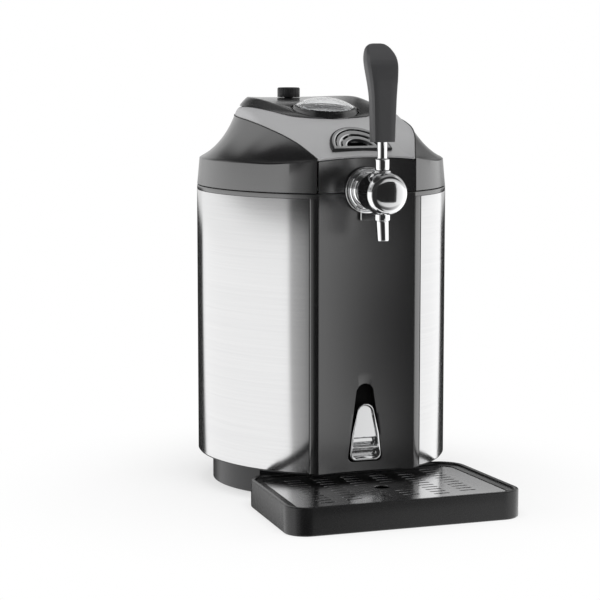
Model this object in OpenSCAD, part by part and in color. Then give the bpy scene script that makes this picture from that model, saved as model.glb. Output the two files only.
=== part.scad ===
// Cooled dispenser for a 5-litre mini keg: round body, hinged lid, front tap and drip tray.
// Millimetres. X right, Y to the rear, Z up; the origin is on the floor under the keg's axis.

/* [Body] */
// Half the width of the body
body_a = 132; // [131:0.5:134]
// Depth of the body's rounded front, from the keg's axis
body_b = 154; // [152:0.5:156]
// Depth of the flattened rear, from the keg's axis
body_rear = 125; // [124:0.5:127]
// Height of the underside of the body over the drip tray
body_z0 = 33; // [32.5:0.5:34]
// Height of the seam between body and lid
seam_z = 322; // [322:0.1:322.4]
// Top edge of the brushed steel side panels
steel_top = 317; // [312:0.5:318]
// Thickness of the steel panels
steel_t = 1; // [0.8:0.1:1.1]
// Half the width of the black front panel
panel_w = 53; // [52:0.5:54]
// Width of the pillar beside the front panel
pillar_w = 8; // [7:0.5:9]

/* [Keg well] */
// Inner radius of the keg well
well_r = 88; // [87.5:0.1:88.3]
// Wall of the keg well
well_t = 1.2; // [1:0.1:1.2]
// Floor of the keg well
well_z0 = 48; // [46:0.5:50]

/* [Tap] */
// Height of the tap's axis
tap_z = 324.5; // [324.3:0.1:324.7]
// Distance of the spout in front of the keg's axis
tap_y = -180; // [-181:0.5:-179]
// Radius of the tap's barrel
barrel_r = 21; // [20.5:0.1:21.2]
// Top of the handle
handle_top = 472.9; // [471.5:0.1:474]

/* [Drip tray] */
// Height of the tray
tray_h = 28.7; // [28:0.1:29.5]
// Front edge of the tray, from the keg's axis
tray_front = -260.3; // [-262:0.1:-258]
// Half the width of the tray at its front
tray_w = 124.5; // [123:0.5:126]
// Length of one slot in the grille
slot_l = 17.7; // [16:0.1:18.5]
// Width of one slot in the grille
slot_w = 3; // [2.5:0.1:3.4]

/* [Hidden] */

black = [0.06, 0.06, 0.065];
soft_black = [0.13, 0.13, 0.135];
grey = [0.62, 0.63, 0.64];
steel = [0.78, 0.78, 0.78];
chrome = [0.85, 0.86, 0.88];
rubber = [0.1, 0.1, 0.1];
white = [0.92, 0.92, 0.9];

$fn = 72;
wall_d = 4;               // depth of the body wall behind the outline
panel_t = 3;              // thickness of the front panel
panel_y = -136.5;         // face of the hollow front panel, at its middle
panel_R = 301;            // radius of the hollow front panel
lid_z0 = seam_z + 0.4;    // lower edge of the lid
hinge_y = 130;            // axis of the lid's hinge
hinge_z = 323;
dome_c = [0, -17.6, 404]; // centre of the display dome's ring
dome_tilt = 7.6;
dome_hole = 35.5;
latch_o = [0, -127.5, 365.8]; // middle of the latch's straight lower edge
latch_tilt = 28.5;
latch_pivot = [26, -7.6]; // up the slope and in from the surface
knob_c = [0, 99];
fan_z = 110;              // height of the cooler and its fan
lever_z = 350;            // pivot of the tap's lever

// ---------- shared shapes ----------

module box(x, y, z) {
    translate([x[0], y[0], z[0]]) cube([x[1] - x[0], y[1] - y[0], z[1] - z[0]]);
}

// a plan shape between two heights
module slab(z0, z1) {
    translate([0, 0, z0]) linear_extrude(z1 - z0) children();
}

// a front view (X, Z) between two depths
module slab_y(y0, y1) {
    translate([0, y1, 0]) rotate([90, 0, 0]) linear_extrude(y1 - y0) children();
}

// a side view (Y, Z) between two widths
module slab_x(x0, x1) {
    translate([x0, 0, 0]) rotate([90, 0, 90]) linear_extrude(x1 - x0) children();
}

module rod_x(x0, x1, y, z, r) {
    translate([x0, y, z]) rotate([0, 90, 0]) cylinder(h = x1 - x0, r = r);
}

module rod_y(y0, y1, x, z, r, r2 = -1) {
    translate([x, y1, z]) rotate([90, 0, 0]) cylinder(h = y1 - y0, r1 = r, r2 = r2 < 0 ? r : r2);
}

module both_sides() {
    children();
    mirror([1, 0, 0]) children();
}

// one point of the body's outline, moved inward by d: half an ellipse in front, a
// flattened circle behind; t = 0 faces the front
function outline_at(t, d = 0) =
    let (c = cos(t))
    [(body_a - d) * sin(t),
     c > 0 ? -(body_b - d) * c : min(-(body_a - d) * c, body_rear - d)];

module outline(d = 0) {
    polygon([for (i = [0:119]) outline_at(i * 3, d)]);
}

module outline_ring(d1, d2) {
    difference() {
        outline(d1);
        outline(d2);
    }
}

// plan of the hollow front skin, set back by s and t thick
module hollow_front(w, s = 0, t = panel_t) {
    intersection() {
        translate([0, panel_y - panel_R]) difference() {
            circle(panel_R + s + t, $fn = 360);
            circle(panel_R + s, $fn = 360);
        }
        translate([-w, -200]) square([2 * w, 100]);
    }
}

// smooth curve through control points, u from 0 to len - 1
function through(p, u) =
    let (n = len(p) - 1, i = min(floor(u), n - 1), f = u - i,
         a = p[max(i - 1, 0)], b = p[i], c = p[i + 1], d = p[min(i + 2, n)])
    b + 0.5 * f * (c - a + f * (2 * a - 5 * b + 4 * c - d + f * (3 * b - a - 3 * c + d)));

// height table read with its corners rounded off
function eased(y, table, r = 6) =
    (lookup(y - r, table) + lookup(y, table) + lookup(y + r, table)) / 3;

function mixed(a, b, f) = a + (b - a) * f;

// faces of a skin whose loops have m points each; closed = the last loop meets the first
function loop_faces(n, m, closed) = concat(
    [for (i = [0:n - (closed ? 1 : 2)], j = [0:m - 1])
        let (k = (i + 1) % n, l = (j + 1) % m)
        for (f = [[i * m + j, i * m + l, k * m + l], [i * m + j, k * m + l, k * m + j]]) f],
    closed ? [] : [[for (j = [m - 1:-1:0]) j], [for (j = [0:m - 1]) (n - 1) * m + j]]);

module skin(loops, closed = false) {
    n = len(loops);
    m = len(loops[0]);
    polyhedron([for (l = loops, p = l) p], loop_faces(n, m, closed), convexity = 8);
}

// ---------- base ----------

module plinth_plan(d) {
    intersection() {
        circle(116 - d, $fn = 144);
        translate([-120, -70 + d]) square([240, 200]);
    }
}

module feet() {
    color(rubber) {
        cylinder(h = 2.5, r = 12);
        for (p = [[78, -55], [-78, -55], [72, 75], [-72, 75]])
            translate(p) cylinder(h = 2.5, r = 9);
    }
}

module base_plinth() {
    color(black) difference() {
        slab(2.5, body_z0 - 0.1) plinth_plan(0);
        translate([0, 0, -1]) slab(2.5, body_z0 + 2) plinth_plan(3);
    }
}

module base_cover() {
    color(soft_black) {
        slab(2.6, 5) plinth_plan(3.2);
        for (x = [-85, 85], y = [-50, 40])
            translate([x, y, 4.9]) cylinder(h = 6, r = 4);
    }
}

module power_board() {
    color([0.1, 0.35, 0.2]) box([-75, 20], [-40, 20], [8, 9.6]);
    color(soft_black) {
        box([-65, -45], [-30, -5], [9.6, 19]);
        box([-20, -8], [-20, 0], [9.6, 16]);
        for (x = [-30, 5], y = [-25, 5]) translate([x, y, 9.6]) cylinder(h = 14, r = 5);
    }
    for (x = [-70, 15], y = [-35, 15]) translate([x, y, 5]) cylinder(h = 3, r = 2.5);
}

module transformer() {
    color(grey) box([34, 78], [-30, 12], [5.1, 24]);
    color([0.7, 0.45, 0.2]) box([40, 72], [12, 20], [8, 21]);
}

// ---------- body ----------

module body_floor() {
    color(black) difference() {
        slab(body_z0, body_z0 + 2.6) outline(1.6);
        slab(body_z0 - 1, body_z0 + 4) hollow_front(60, -20, 23.2);
        slab(body_z0 - 1, body_z0 + 4) pillar_plan(0.15);
        translate([0, 70, body_z0 - 1]) cylinder(h = 5, r = 8);
    }
}

// plan strips that cut the body's ring at the front and at the rear panel
module front_gap(w = panel_w) {
    translate([-w, -200]) square([2 * w, 140]);
}

module rear_gap(w = 60) {
    translate([-w, 60]) square([2 * w, 100]);
}

// plan of the pillars beside the front panel, grown by d
module pillar_plan(d = 0) {
    intersection() {
        outline_ring(-d, wall_d - 0.01 + d);
        for (s = [-1, 1]) translate([s * (panel_w + pillar_w / 2), -120])
            square([pillar_w + 2 * d, 60], center = true);
    }
}

module body_frame() {
    color(black) {
        slab(body_z0 + 2.7, steel_top) difference() {
            outline_ring(steel_t + 0.3, wall_d);
            front_gap();
            rear_gap();
        }
        slab(steel_top - 0.01, seam_z - 0.4) difference() {
            outline_ring(0.3, wall_d);
            front_gap();
        }
        slab(body_z0 + 0.5, steel_top) pillar_plan();
    }
}

module steel_panel() {
    slab(body_z0 + 1.8, steel_top - 0.2) intersection() {
        outline_ring(0.15, steel_t + 0.15);
        difference() {
            translate([panel_w + pillar_w + 0.5, -200]) square([100, 400]);
            translate([0, 100]) square([61, 60]);
        }
    }
}

module steel_panel_right() {
    color(steel) steel_panel();
}

module steel_panel_left() {
    color(steel) mirror([1, 0, 0]) steel_panel();
}

// teardrop in front view: a small round over two corner rounds
module teardrop(top_r, top_z, low_r, low_x, low_z) {
    hull() {
        translate([0, top_z]) circle(top_r);
        for (s = [-1, 1]) translate([s * low_x, low_z]) circle(low_r, $fn = 32);
    }
}

module opener_recess(d = 0) {
    offset(delta = d) teardrop(9.6, 114.8, 6, 12.7, 49);
}

module front_panel() {
    color(soft_black) {
        difference() {
            slab(body_z0 + 0.3, seam_z - 0.4) hollow_front(panel_w - 0.3);
            slab_y(-160, -120) opener_recess();
            rod_y(-160, -120, 0, tap_z, 10);
        }
        difference() {
            slab_y(-134.6, -125.5) opener_recess(1.8);
            slab_y(-140, -127.5) opener_recess();
        }
    }
}

module opener_plan(d = 0) {
    offset(delta = -d) teardrop(9, 95, 6, 10.8, 50.5);
}

module bottle_opener() {
    color(chrome) {
        difference() {
            slab_y(-139, -127.7) opener_plan();
            // shallow channel above, deep mouth below
            slab_y(-141, -135.5) intersection() {
                opener_plan(2.6);
                translate([-20, 67]) square([40, 60]);
            }
            slab_y(-141, -130) intersection() {
                opener_plan(2.6);
                translate([-20, 40]) square([40, 27.01]);
            }
        }
        // the lip that catches the cap
        intersection() {
            hull() {
                rod_x(-14.5, 14.5, -136, 60.6, 2.2);
                rod_x(-14.5, 14.5, -136.6, 56.2, 1.8);
            }
            slab_y(-145, -125) opener_plan(0.5);
        }
    }
}

module top_deck() {
    color(soft_black) difference() {
        slab(314.6, 317.4) outline(wall_d + 0.3);
        translate([0, 0, 300]) cylinder(h = 30, r = well_r + well_t + 0.2, $fn = 144);
        box([-40, 40], [-150, -100], [300, 330]);
        slab(300, 330) hollow_front(70, -30, 33.5);
    }
}

module cooling_well() {
    color([0.75, 0.77, 0.8]) rotate_extrude($fn = 144) polygon([
        [0, well_z0], [well_r - 3, well_z0], [well_r, well_z0 + 3], [well_r, 319],
        [95, 319], [95, 317.8], [well_r + well_t, 317.8], [well_r + well_t, well_z0 + 2.4],
        [well_r - 2.4, well_z0 - well_t], [0, well_z0 - well_t]]);
}

module insulation() {
    color([0.9, 0.88, 0.8]) difference() {
        rotate_extrude($fn = 144) polygon([
            [0, 36], [108, 36], [108, 311], [89.7, 311], [89.7, 46.3], [0, 46.3]]);
        box([-34, 34], [76, 130], [fan_z - 34, fan_z + 34]);
    }
}

// ---------- cooler ----------

module cold_block() {
    color(grey) difference() {
        box([-28, 28], [80, 94], [fan_z - 28, fan_z + 28]);
        translate([0, 0, 60]) cylinder(h = 100, r = well_r + well_t + 0.1, $fn = 144);
    }
}

module peltier_module() {
    color(white) box([-20, 20], [94.05, 97.9], [fan_z - 20, fan_z + 20]);
}

module heat_sink() {
    color(grey) {
        box([-30, 30], [98, 101.5], [fan_z - 30, fan_z + 30]);
        for (i = [0:10])
            box([-29 + i * 5.7, -28 + i * 5.7], [101.4, 111.6], [fan_z - 30, fan_z + 30]);
    }
}

module fan_frame() {
    color(black) {
        difference() {
            box([-30, 30], [111.8, 121.6], [fan_z - 30, fan_z + 30]);
            rod_y(100, 130, 0, fan_z, 28.5);
            for (x = [-25, 25], z = [-25, 25]) rod_y(100, 130, x, fan_z + z, 1.8);
        }
        rod_y(119.6, 121.6, 0, fan_z, 12.5);
        for (a = [0:120:240]) translate([0, 0, fan_z]) rotate([0, a, 0])
            box([11, 28.8], [119.6, 121.6], [-1.5, 1.5]);
    }
}

module fan_rotor() {
    color(black) {
        rod_y(112.6, 119.2, 0, fan_z, 12);
        for (a = [0:360 / 7:359]) translate([0, 116, fan_z]) rotate([0, a, 0])
            translate([18.5, 0, 0]) rotate([38, 0, 0]) cube([16, 0.9, 8], center = true);
    }
}

module rear_panel() {
    color(black) difference() {
        box([-59.7, 59.7], [122, 124.9], [body_z0 + 2.8, steel_top - 0.2]);
        for (i = [0:9]) let (z = fan_z - 27 + i * 6)
            box([-24, 24], [120, 127], [z - 1.5, z + 1.5]);
        for (i = [0:7]) let (z = 210 + i * 8)
            box([-30, 30], [120, 127], [z - 1.5, z + 1.5]);
        box([-38.2, -9.8], [120, 127], [50.8, 71.2]);
        box([12.8, 27.2], [120, 127], [50.8, 71.2]);
    }
}

module power_inlet() {
    color(black) difference() {
        union() {
            box([-38, -10], [108, 125], [51, 71]);
            box([-41, -7], [125, 127], [48.5, 73.5]);
        }
        box([-36, -12], [111, 130], [54, 68]);
    }
    color(steel) for (p = [[-30, 60], [-24, 63], [-18, 60]])
        box([p[0] - 1, p[0] + 1], [110, 124], [p[1] - 2, p[1] + 2]);
}

// a rocker, one end pressed in
module power_switch() {
    color(black) intersection() {
        slab_x(13.3, 26.7) polygon([
            [121, 52], [126.3, 52], [124.9, 61], [127.8, 70], [121, 70]]);
        box([13, 27], [110, 130], [51.4, 70.6]);
    }
}

module body_screws() {
    color(steel) for (x = [-54, 54], z = [46, 160, 280]) difference() {
        rod_y(124.95, 126.6, x, z, 3);
        box([x - 2, x + 2], [126, 130], [z - 0.4, z + 0.4]);
    }
}

// ---------- hinge ----------

module hinge_bracket() {
    color(black) both_sides() difference() {
        union() {
            box([31, 58], [125.2, 127.2], [296, hinge_z]);
            rod_x(31, 58, hinge_y, hinge_z, 4);
            box([31, 58], [125.2, hinge_y], [hinge_z - 4, hinge_z]);
        }
        rod_x(30, 59, hinge_y, hinge_z, 2.04);
    }
}

module hinge_pin() {
    color(steel) rod_x(-58.5, 58.5, hinge_y, hinge_z, 2);
}

module lid_hinge_leaf() {
    color(black) difference() {
        union() {
            box([-30.4, 30.4], [124.9, 127.2], [hinge_z, 346]);
            rod_x(-30.4, 30.4, hinge_y, hinge_z, 4);
            box([-30.4, 30.4], [124.9, hinge_y], [hinge_z, hinge_z + 4]);
        }
        rod_x(-32, 32, hinge_y, hinge_z, 2.04);
    }
}

module latch_striker() {
    color(steel) {
        box([-46, 46], [-106.4, -101.4], [317.5, 319.5]);
        for (x = [-43, 43]) translate([x, -103.9, 319.4]) cylinder(h = 1.4, r = 2);
    }
}

// ---------- tap ----------

// a turned piece on the tap's axis; profile is [radius, distance in front of y]
module turned(y, profile) {
    translate([0, y, tap_z]) rotate([90, 0, 0]) rotate_extrude() polygon(profile);
}

module tap_flange() {
    color(chrome) turned(-138, [
        [12.1, 0], [24, 0], [24.2, 1.5], [23.6, 3.4], [22, 4.2], [21.2, 3.8], [20.6, 4.2],
        [20.4, 5.8], [19.2, 7.2], [17.8, 7.2], [17.4, 8.6], [16.2, 10.4], [14.6, 11], [12.1, 11]]);
}

module flange_tab() {
    color(chrome) slab_y(-141, -137.8) hull() {
        for (s = [-1, 1]) translate([s * 7, 293]) circle(1.3, $fn = 24);
        for (s = [-1, 1]) translate([s * 7, 296]) circle(1.3, $fn = 24);
    }
}

module tap_shank() {
    color(chrome) difference() {
        turned(-112, [
            [0, 0], [3.2, 0], [4, 2], [3.4, 2.4], [4, 5], [3.4, 5.4], [4, 7], [8, 7], [8, 26],
            [12, 26], [12, 48], [0, 48]]);
        rod_y(-161, -111, 0, tap_z, 2.2);
    }
}

module tap_locknut() {
    color(chrome) difference() {
        translate([0, -126.5, tap_z]) rotate([90, 0, 0]) rotate([0, 0, 30])
            cylinder(h = 6, r = 14.5, $fn = 6);
        rod_y(-140, -120, 0, tap_z, 8.05);
    }
}

module tap_gasket() {
    color(rubber) difference() {
        rod_y(-137.95, -137.1, 0, tap_z, 15);
        rod_y(-140, -130, 0, tap_z, 12.1);
    }
}

module tap_body() {
    color(chrome) difference() {
        union() {
            turned(-160.05, [[0, 0], [11, 0], [16, 1], [19.4, 3.4], [20.8, 7],
                [barrel_r, 11], [barrel_r, 34], [0, 34]]);
            translate([0, tap_y, 340]) cylinder(h = 4.6, r1 = 15, r2 = 10.5);
            translate([0, tap_y, 340]) cylinder(h = 7, r = 8.6);
            translate([0, tap_y, 303.45]) cylinder(h = 6.6, r1 = 8, r2 = 14);
        }
        translate([0, tap_y, lever_z]) sphere(7.65);
        rod_y(-185, -150, 0, tap_z, 4);
        translate([0, tap_y, 300]) cylinder(h = 25, r = 4);
    }
}

module tap_cap() {
    color(chrome) turned(-194.3, [[0, 0], [barrel_r, 0], [barrel_r, 1.8], [20.3, 3.8],
        [18.9, 5.1], [16.5, 5.9], [0, 6.6]]);
}

module spout_collar() {
    color(chrome) difference() {
        translate([0, tap_y - 0.6, 297]) cylinder(h = 6.4, r = 8);
        translate([0, tap_y, 290]) cylinder(h = 20, r = 4.1);
        translate([0, tap_y - 0.6, 296]) cylinder(h = 3, r = 6.6);
    }
}

module spout() {
    color(chrome) translate([0, tap_y - 0.6, 298.8]) rotate([-7, 0, 0]) rotate([180, 0, 0])
        rotate_extrude() polygon([[4.4, 0.8], [6.3, 0.8], [6.4, 4], [5.8, 22], [5.3, 22.6],
            [4.8, 22.6], [4.4, 21.6]]);
}

module lever_stem() {
    color(chrome) difference() {
        union() {
            translate([0, tap_y, lever_z]) sphere(7.3);
            translate([0, tap_y, lever_z]) cylinder(h = 8.1, r = 7.3);
            translate([0, tap_y, lever_z + 8.1]) cylinder(h = 0.6, r1 = 7.3, r2 = 6.7);
            translate([0, tap_y, 358]) cylinder(h = 18.2, r = 5);
            translate([0, tap_y, 376]) cylinder(h = 16, r = 3);
        }
        translate([0, tap_y, lever_z - 8]) cylinder(h = 2, r = 4);
    }
}

// one section of the handle: a flat front with tight corners and a rounder back, of
// half-width w and half-depth d
function handle_loop(z, w, d, y) = [for (a = [0:12:348]) let (q = sin(a) < 0 ? 0.36 : 0.62)
    [w * sign(cos(a)) * pow(abs(cos(a)), 0.42), y + d * sign(sin(a)) * pow(abs(sin(a)), q), z]];

module tap_handle() {
    sections = [ // height, half-width, half-depth, middle in Y
        [376.2, 10.9, 6.4, -0.6], [377.4, 12, 7.4, -0.6], [395, 12.5, 7.7, -0.8],
        [418, 13.3, 8, -0.9], [430, 14.3, 8.6, 0], [438, 15.2, 9.2, 1.1], [449, 16.3, 9.8, 3.6],
        [455, 16.4, 9.6, 5.6], [459, 16, 9, 7.4], [463, 15, 7.8, 9.8], [467, 13.2, 6, 12.8],
        [470, 10.9, 4.4, 14.6], [handle_top - 0.7, 7.6, 2.6, 15.8], [handle_top, 4, 1.2, 16.3]];
    color(soft_black) difference() {
        skin([for (s = sections) handle_loop(s[0], s[1], s[2], tap_y + s[3])]);
        translate([0, tap_y, 370]) cylinder(h = 22.5, r = 3.05);
    }
}

// ---------- lid ----------

// seam between the lid's black shoulder and its grey saddle, at equal steps of the
// outline's angle from the front corner to the rear
lid_t0 = 24.4;
lid_steps = 26;
seam_points = [
    [53.6, -138.8, 357], [64.5, -111, 369.5], [72, -84, 376.2], [77.3, -56, 381.8],
    [81.3, -27, 385.8], [84, 3, 388.8], [85.2, 30, 391.5], [83.5, 57, 393.4],
    [77.5, 83, 394], [62, 104, 394], [35, 115, 394], [0, 117.5, 394]];

function lid_angle(k) = lid_t0 + (180 - lid_t0) * k / lid_steps;
function seam_at(k) = through(seam_points, 11 * k / lid_steps);
function flip(p) = [-p[0], p[1], p[2]];

// the band's upper edge climbs toward the front corners
function band_top(x) = 351.2 + 5.4 * pow(max(0, (95 - abs(x)) / 42), 1.3);
function band_draft(t) = 0.8 + 2.2 * min(1, max(0, (t - 24) / 40));

// one upright slice of band and shoulder: outside going up, inside coming down
function shoulder_loop(k, n = 7, wall = 2.4) =
    let (t = lid_angle(k), s = seam_at(k), p = outline_at(t, band_draft(t)),
         q = outline_at(t, band_draft(t) + wall), low = outline_at(t, 0.5),
         low_in = outline_at(t, 0.5 + wall), z = band_top(p[0]))
    concat(
        [[low[0], low[1], lid_z0], [p[0], p[1], z - 0.8]],
        [for (i = [0:n]) let (u = i / n)
            [mixed(p[0], s[0], 0.01 + 0.99 * u), mixed(p[1], s[1], 0.01 + 0.99 * u),
             mixed(z, s[2], 0.45 * u + 0.55 * u * u)]],
        [for (i = [n:-1:0]) let (u = i / n)
            [mixed(q[0], s[0], u) + 0.3 * u, mixed(q[1], s[1], u),
             mixed(z - 1.6, s[2] - 2.8, 0.45 * u + 0.55 * u * u)]],
        [[low_in[0], low_in[1], lid_z0]]);

module lid_shell() {
    half = [for (k = [0:lid_steps]) shoulder_loop(k)];
    other = [for (k = [lid_steps - 1:-1:0]) [for (p = half[k]) flip(p)]];
    color(black) skin(concat(half, other));
}

// crest of the saddle along the middle of the lid
crest = [[-136.5, 359.4], [-127, 366], [-110, 375.5], [-92, 385], [-70, 390.5], [-50, 393.5],
         [-30, 399], [-15, 402], [10, 404], [60, 404], [120, 402]];

// the saddle's edge: along the hollow front, then up the seam; [x, y, z, fullness]
front_steps = 7;
saddle_steps = front_steps + lid_steps;
fullness = [3, 3, 3, 3.2, 5, 9, 16, 22, 24, 24, 24, 24];

function saddle_edge(k) =
    k < front_steps
    ? let (x = 52.6 * k / front_steps)
        [x, panel_y + 0.25 - x * x / (2 * panel_R), 359.4 - 2.5 * pow(x / 52.6, 2),
         mixed(8, 3, k / front_steps)]
    : let (j = k - front_steps, s = seam_at(j), m = 1 - 0.35 / norm([s[0], s[1] + 17.6]))
        [s[0] * m, s[1] * m, s[2] + 0.1, through(fullness, 11 * j / lid_steps)];

function dome_edge(k, r = dome_hole) =
    let (a = k < front_steps ? 30 * k / front_steps
                             : 30 + 150 * (k - front_steps) / lid_steps)
    [r * sin(a), dome_c[1] - r * cos(a)];

// height of the saddle at share w of the way from the dome to the edge
function saddle_z(k, w) =
    let (e = saddle_edge(k), i = dome_edge(k), y = mixed(i[1], e[1], w))
    mixed(e[2], max(e[2], eased(y, crest)), 1 - pow(w, e[3]));

function saddle_point(k, w, drop = 0, r = dome_hole) =
    let (e = saddle_edge(k), i = dome_edge(k, r))
    [mixed(i[0], e[0], w), mixed(i[1], e[1], w), saddle_z(k, w) - drop];

saddle_w = [0, 0.15, 0.3, 0.45, 0.6, 0.73, 0.84, 0.92, 0.97, 1];

function saddle_loop(k) = concat(
    [for (w = saddle_w) saddle_point(k, w)],
    [for (i = [len(saddle_w) - 1:-1:0]) saddle_point(k, saddle_w[i] * 0.975, 1.8)]);

// a ring of loops from its right half, mirrored for the left
function whole_ring(half) = let (n = len(half) - 1) concat(
    half, [for (k = [n - 1:-1:1]) [for (p = half[k]) flip(p)]]);

module latch_place() {
    translate(latch_o) rotate([latch_tilt, 0, 0]) children();
}

// half an ellipse standing on its straight edge, grown by d
module half_moon(w, h, d = 0) {
    intersection() {
        polygon([for (i = [0:47]) [(w + d) * cos(i * 7.5), (h + d) * sin(i * 7.5)]]);
        translate([-50, -d]) square([100, 100]);
    }
}

module lid_saddle() {
    color(grey) difference() {
        skin(whole_ring([for (k = [0:saddle_steps]) saddle_loop(k)]), closed = true);
        latch_place() slab(-16, 12) half_moon(30, 40, 0.8);
        translate([knob_c[0], knob_c[1], 390]) cylinder(h = 20, r = 5.4, $fn = 24);
    }
}

module lid_front() {
    color(black) intersection() {
        slab(lid_z0, 380) hollow_front(panel_w - 0.3);
        slab_y(-160, -120) difference() {
            intersection() {
                translate([-60, lid_z0]) square([120, 60]);
                translate([0, 357 - 485.8]) circle(485.8, $fn = 360);
            }
            translate([0, tap_z]) circle(10);
        }
    }
}

// plateau behind the dome: outer foot, its ridge and the heights of both
island_foot = [[0, -54.6], [19, -50.4], [36, -37], [50.5, -20], [62, 0], [71.7, 22],
               [76.6, 48], [75.5, 76], [63, 98], [36, 110], [0, 113.4]];
island_ridge = [[0, -53.9], [18.6, -49.6], [34, -34.6], [44.5, -14], [54, 5], [64, 26],
                [69.6, 50], [68.6, 75], [57, 94], [33, 105.4], [0, 110.6]];
ridge_z = [393.6, 396, 401.5, 407, 410, 412.4, 413.6, 413.4, 412.4, 411.2, 410.6];
island_steps = 36;

function island_loop(k) =
    let (u = 10 * k / island_steps, a = 180 * k / island_steps, r = dome_hole + 0.05,
         f = through(island_foot, u), c = through(island_ridge, u), zc = through(ridge_z, u),
         i = [r * sin(a), dome_c[1] - r * cos(a)], crown = 1 - cos(a),
         zi = mixed(391.5, 409.4, crown / 2), zf = foot_z(f) + 0.45)
    concat(
        [for (w = [0:0.2:1]) let (p = mixed(i, f, w)) [p[0], p[1], foot_z(p) + 0.45]],
        [[f[0], f[1], max(zf + 0.1, mixed(zf, zc, 0.08))]],
        [for (w = [0.3, 0.6, 0.85]) let (p = mixed(f, c, w))
            [p[0], p[1], max(zf + 0.15, mixed(zf, zc, w * w * 0.9 + 0.08 * w))]],
        [for (w = [0, 0.06, 0.35, 0.7, 1]) let (p = mixed(c, i, w))
            [p[0], p[1], max(foot_z(p) + 0.9, mixed(zc, max(zi, foot_z(i) + 1.2), w))]]);

// height of the saddle under a plan point, from its crest and its fullness at the sides
function foot_z(p) = eased(p[1], crest);

module lid_island() {
    color(black) difference() {
        skin(whole_ring([for (k = [0:island_steps]) island_loop(k)]), closed = true);
        translate([knob_c[0], knob_c[1], 390]) cylinder(h = 40, r = 5.4, $fn = 24);
    }
}

module dome_place() {
    translate(dome_c) rotate([dome_tilt, 0, 0]) children();
}

module dome_bezel() {
    color(black) dome_place() rotate_extrude() polygon([
        [28.6, -9.5], [35.1, -9.5], [35.1, -7.5], [34, -4], [32.6, -1.2], [31.4, 0],
        [30.3, 0], [30.3, -2.6], [28.6, -2.6]]);
}

module dome_lens() {
    R = 54.5;
    z0 = 8.8 - R;
    color([0.6, 0.65, 0.7, 0.4]) dome_place() rotate_extrude() polygon(concat(
        [[28.9, -2.5], [30.1, -2.5]],
        [for (i = [0:10]) let (a = 33.5 * (1 - i / 10)) [R * sin(a), z0 + R * cos(a)]],
        [for (i = [0:10]) let (a = 33 * i / 10) [(R - 2) * sin(a), z0 + (R - 2) * cos(a)]]));
}

module display_face() {
    color([0.02, 0.02, 0.03]) dome_place() translate([0, 0, -5.4]) difference() {
        cylinder(h = 1.8, r = 28.4);
        for (x = [-12, 12]) translate([x, -16, -1]) cylinder(h = 4, r = 2.2);
    }
}

module display_board() {
    color([0.1, 0.35, 0.2]) dome_place() {
        translate([0, 0, -9.2]) cylinder(h = 1.6, r = 27.5);
        for (x = [-12, 12]) translate([x, -16, -7.7]) cylinder(h = 3.6, r = 2);
    }
}

module regulator_knob() {
    color(soft_black) translate([knob_c[0], knob_c[1], 0]) {
        difference() {
            union() {
                translate([0, 0, 411.6]) cylinder(h = 9.6, r = 12.5);
                translate([0, 0, 421.1]) cylinder(h = 1, r1 = 12.5, r2 = 11.4);
            }
            for (a = [0:15:345]) rotate([0, 0, a]) translate([12.9, 0, 412.8])
                cylinder(h = 12, r = 1, $fn = 16);
            translate([0, 0, 421.5]) cylinder(h = 2, r = 9.5);
        }
        translate([0, 0, 398.6]) cylinder(h = 13.2, r = 4.9);
    }
}

module regulator_body() {
    color([0.75, 0.6, 0.3]) {
        translate([knob_c[0], knob_c[1], 372]) cylinder(h = 26, r = 11.5);
        box([-7, 7], [74, 90], [368, 382]);
    }
}

module co2_holder() {
    color(soft_black) difference() {
        rod_x(-50, 46, 61, 375, 13);
        rod_x(-51, 43, 61, 375, 11.2);
        box([-20, 20], [40, 80], [355, 366]);
    }
}

module co2_cartridge() {
    color(steel) translate([-48, 61, 375]) rotate([0, 90, 0]) rotate_extrude() polygon([
        [0, 0], [6, 1], [9.6, 4], [10.9, 9], [10.9, 66], [9, 74], [4.5, 79], [4.2, 88], [0, 88]]);
}

module latch_frame() {
    color(chrome) latch_place() {
        slab(-3, 1.4) difference() {
            half_moon(30, 40);
            half_moon(26.6, 36.2, -1.8);
        }
        slab(-4, 0.2) difference() {
            half_moon(26.8, 36.4, -1.7);
            half_moon(21.6, 29, -1.9);
        }
    }
}

module latch_cup() {
    color(black) difference() {
        latch_place() difference() {
            slab(-12, -4.05) half_moon(29, 39);
            slab(-10.5, 2) half_moon(27.5, 37.4, -1.5);
        }
        for (s = [-1, 1])
            latch_place() box([s * 12.5 - 2.4, s * 12.5 + 2.4], [4, 36], [-20, -8]);
        latch_place() rod_x(-21.2, 21.2, latch_pivot[0], latch_pivot[1], 1.56);
    }
}

module latch_pin() {
    color(steel) latch_place() rod_x(-20.8, 20.8, latch_pivot[0], latch_pivot[1], 1.5);
}

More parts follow.
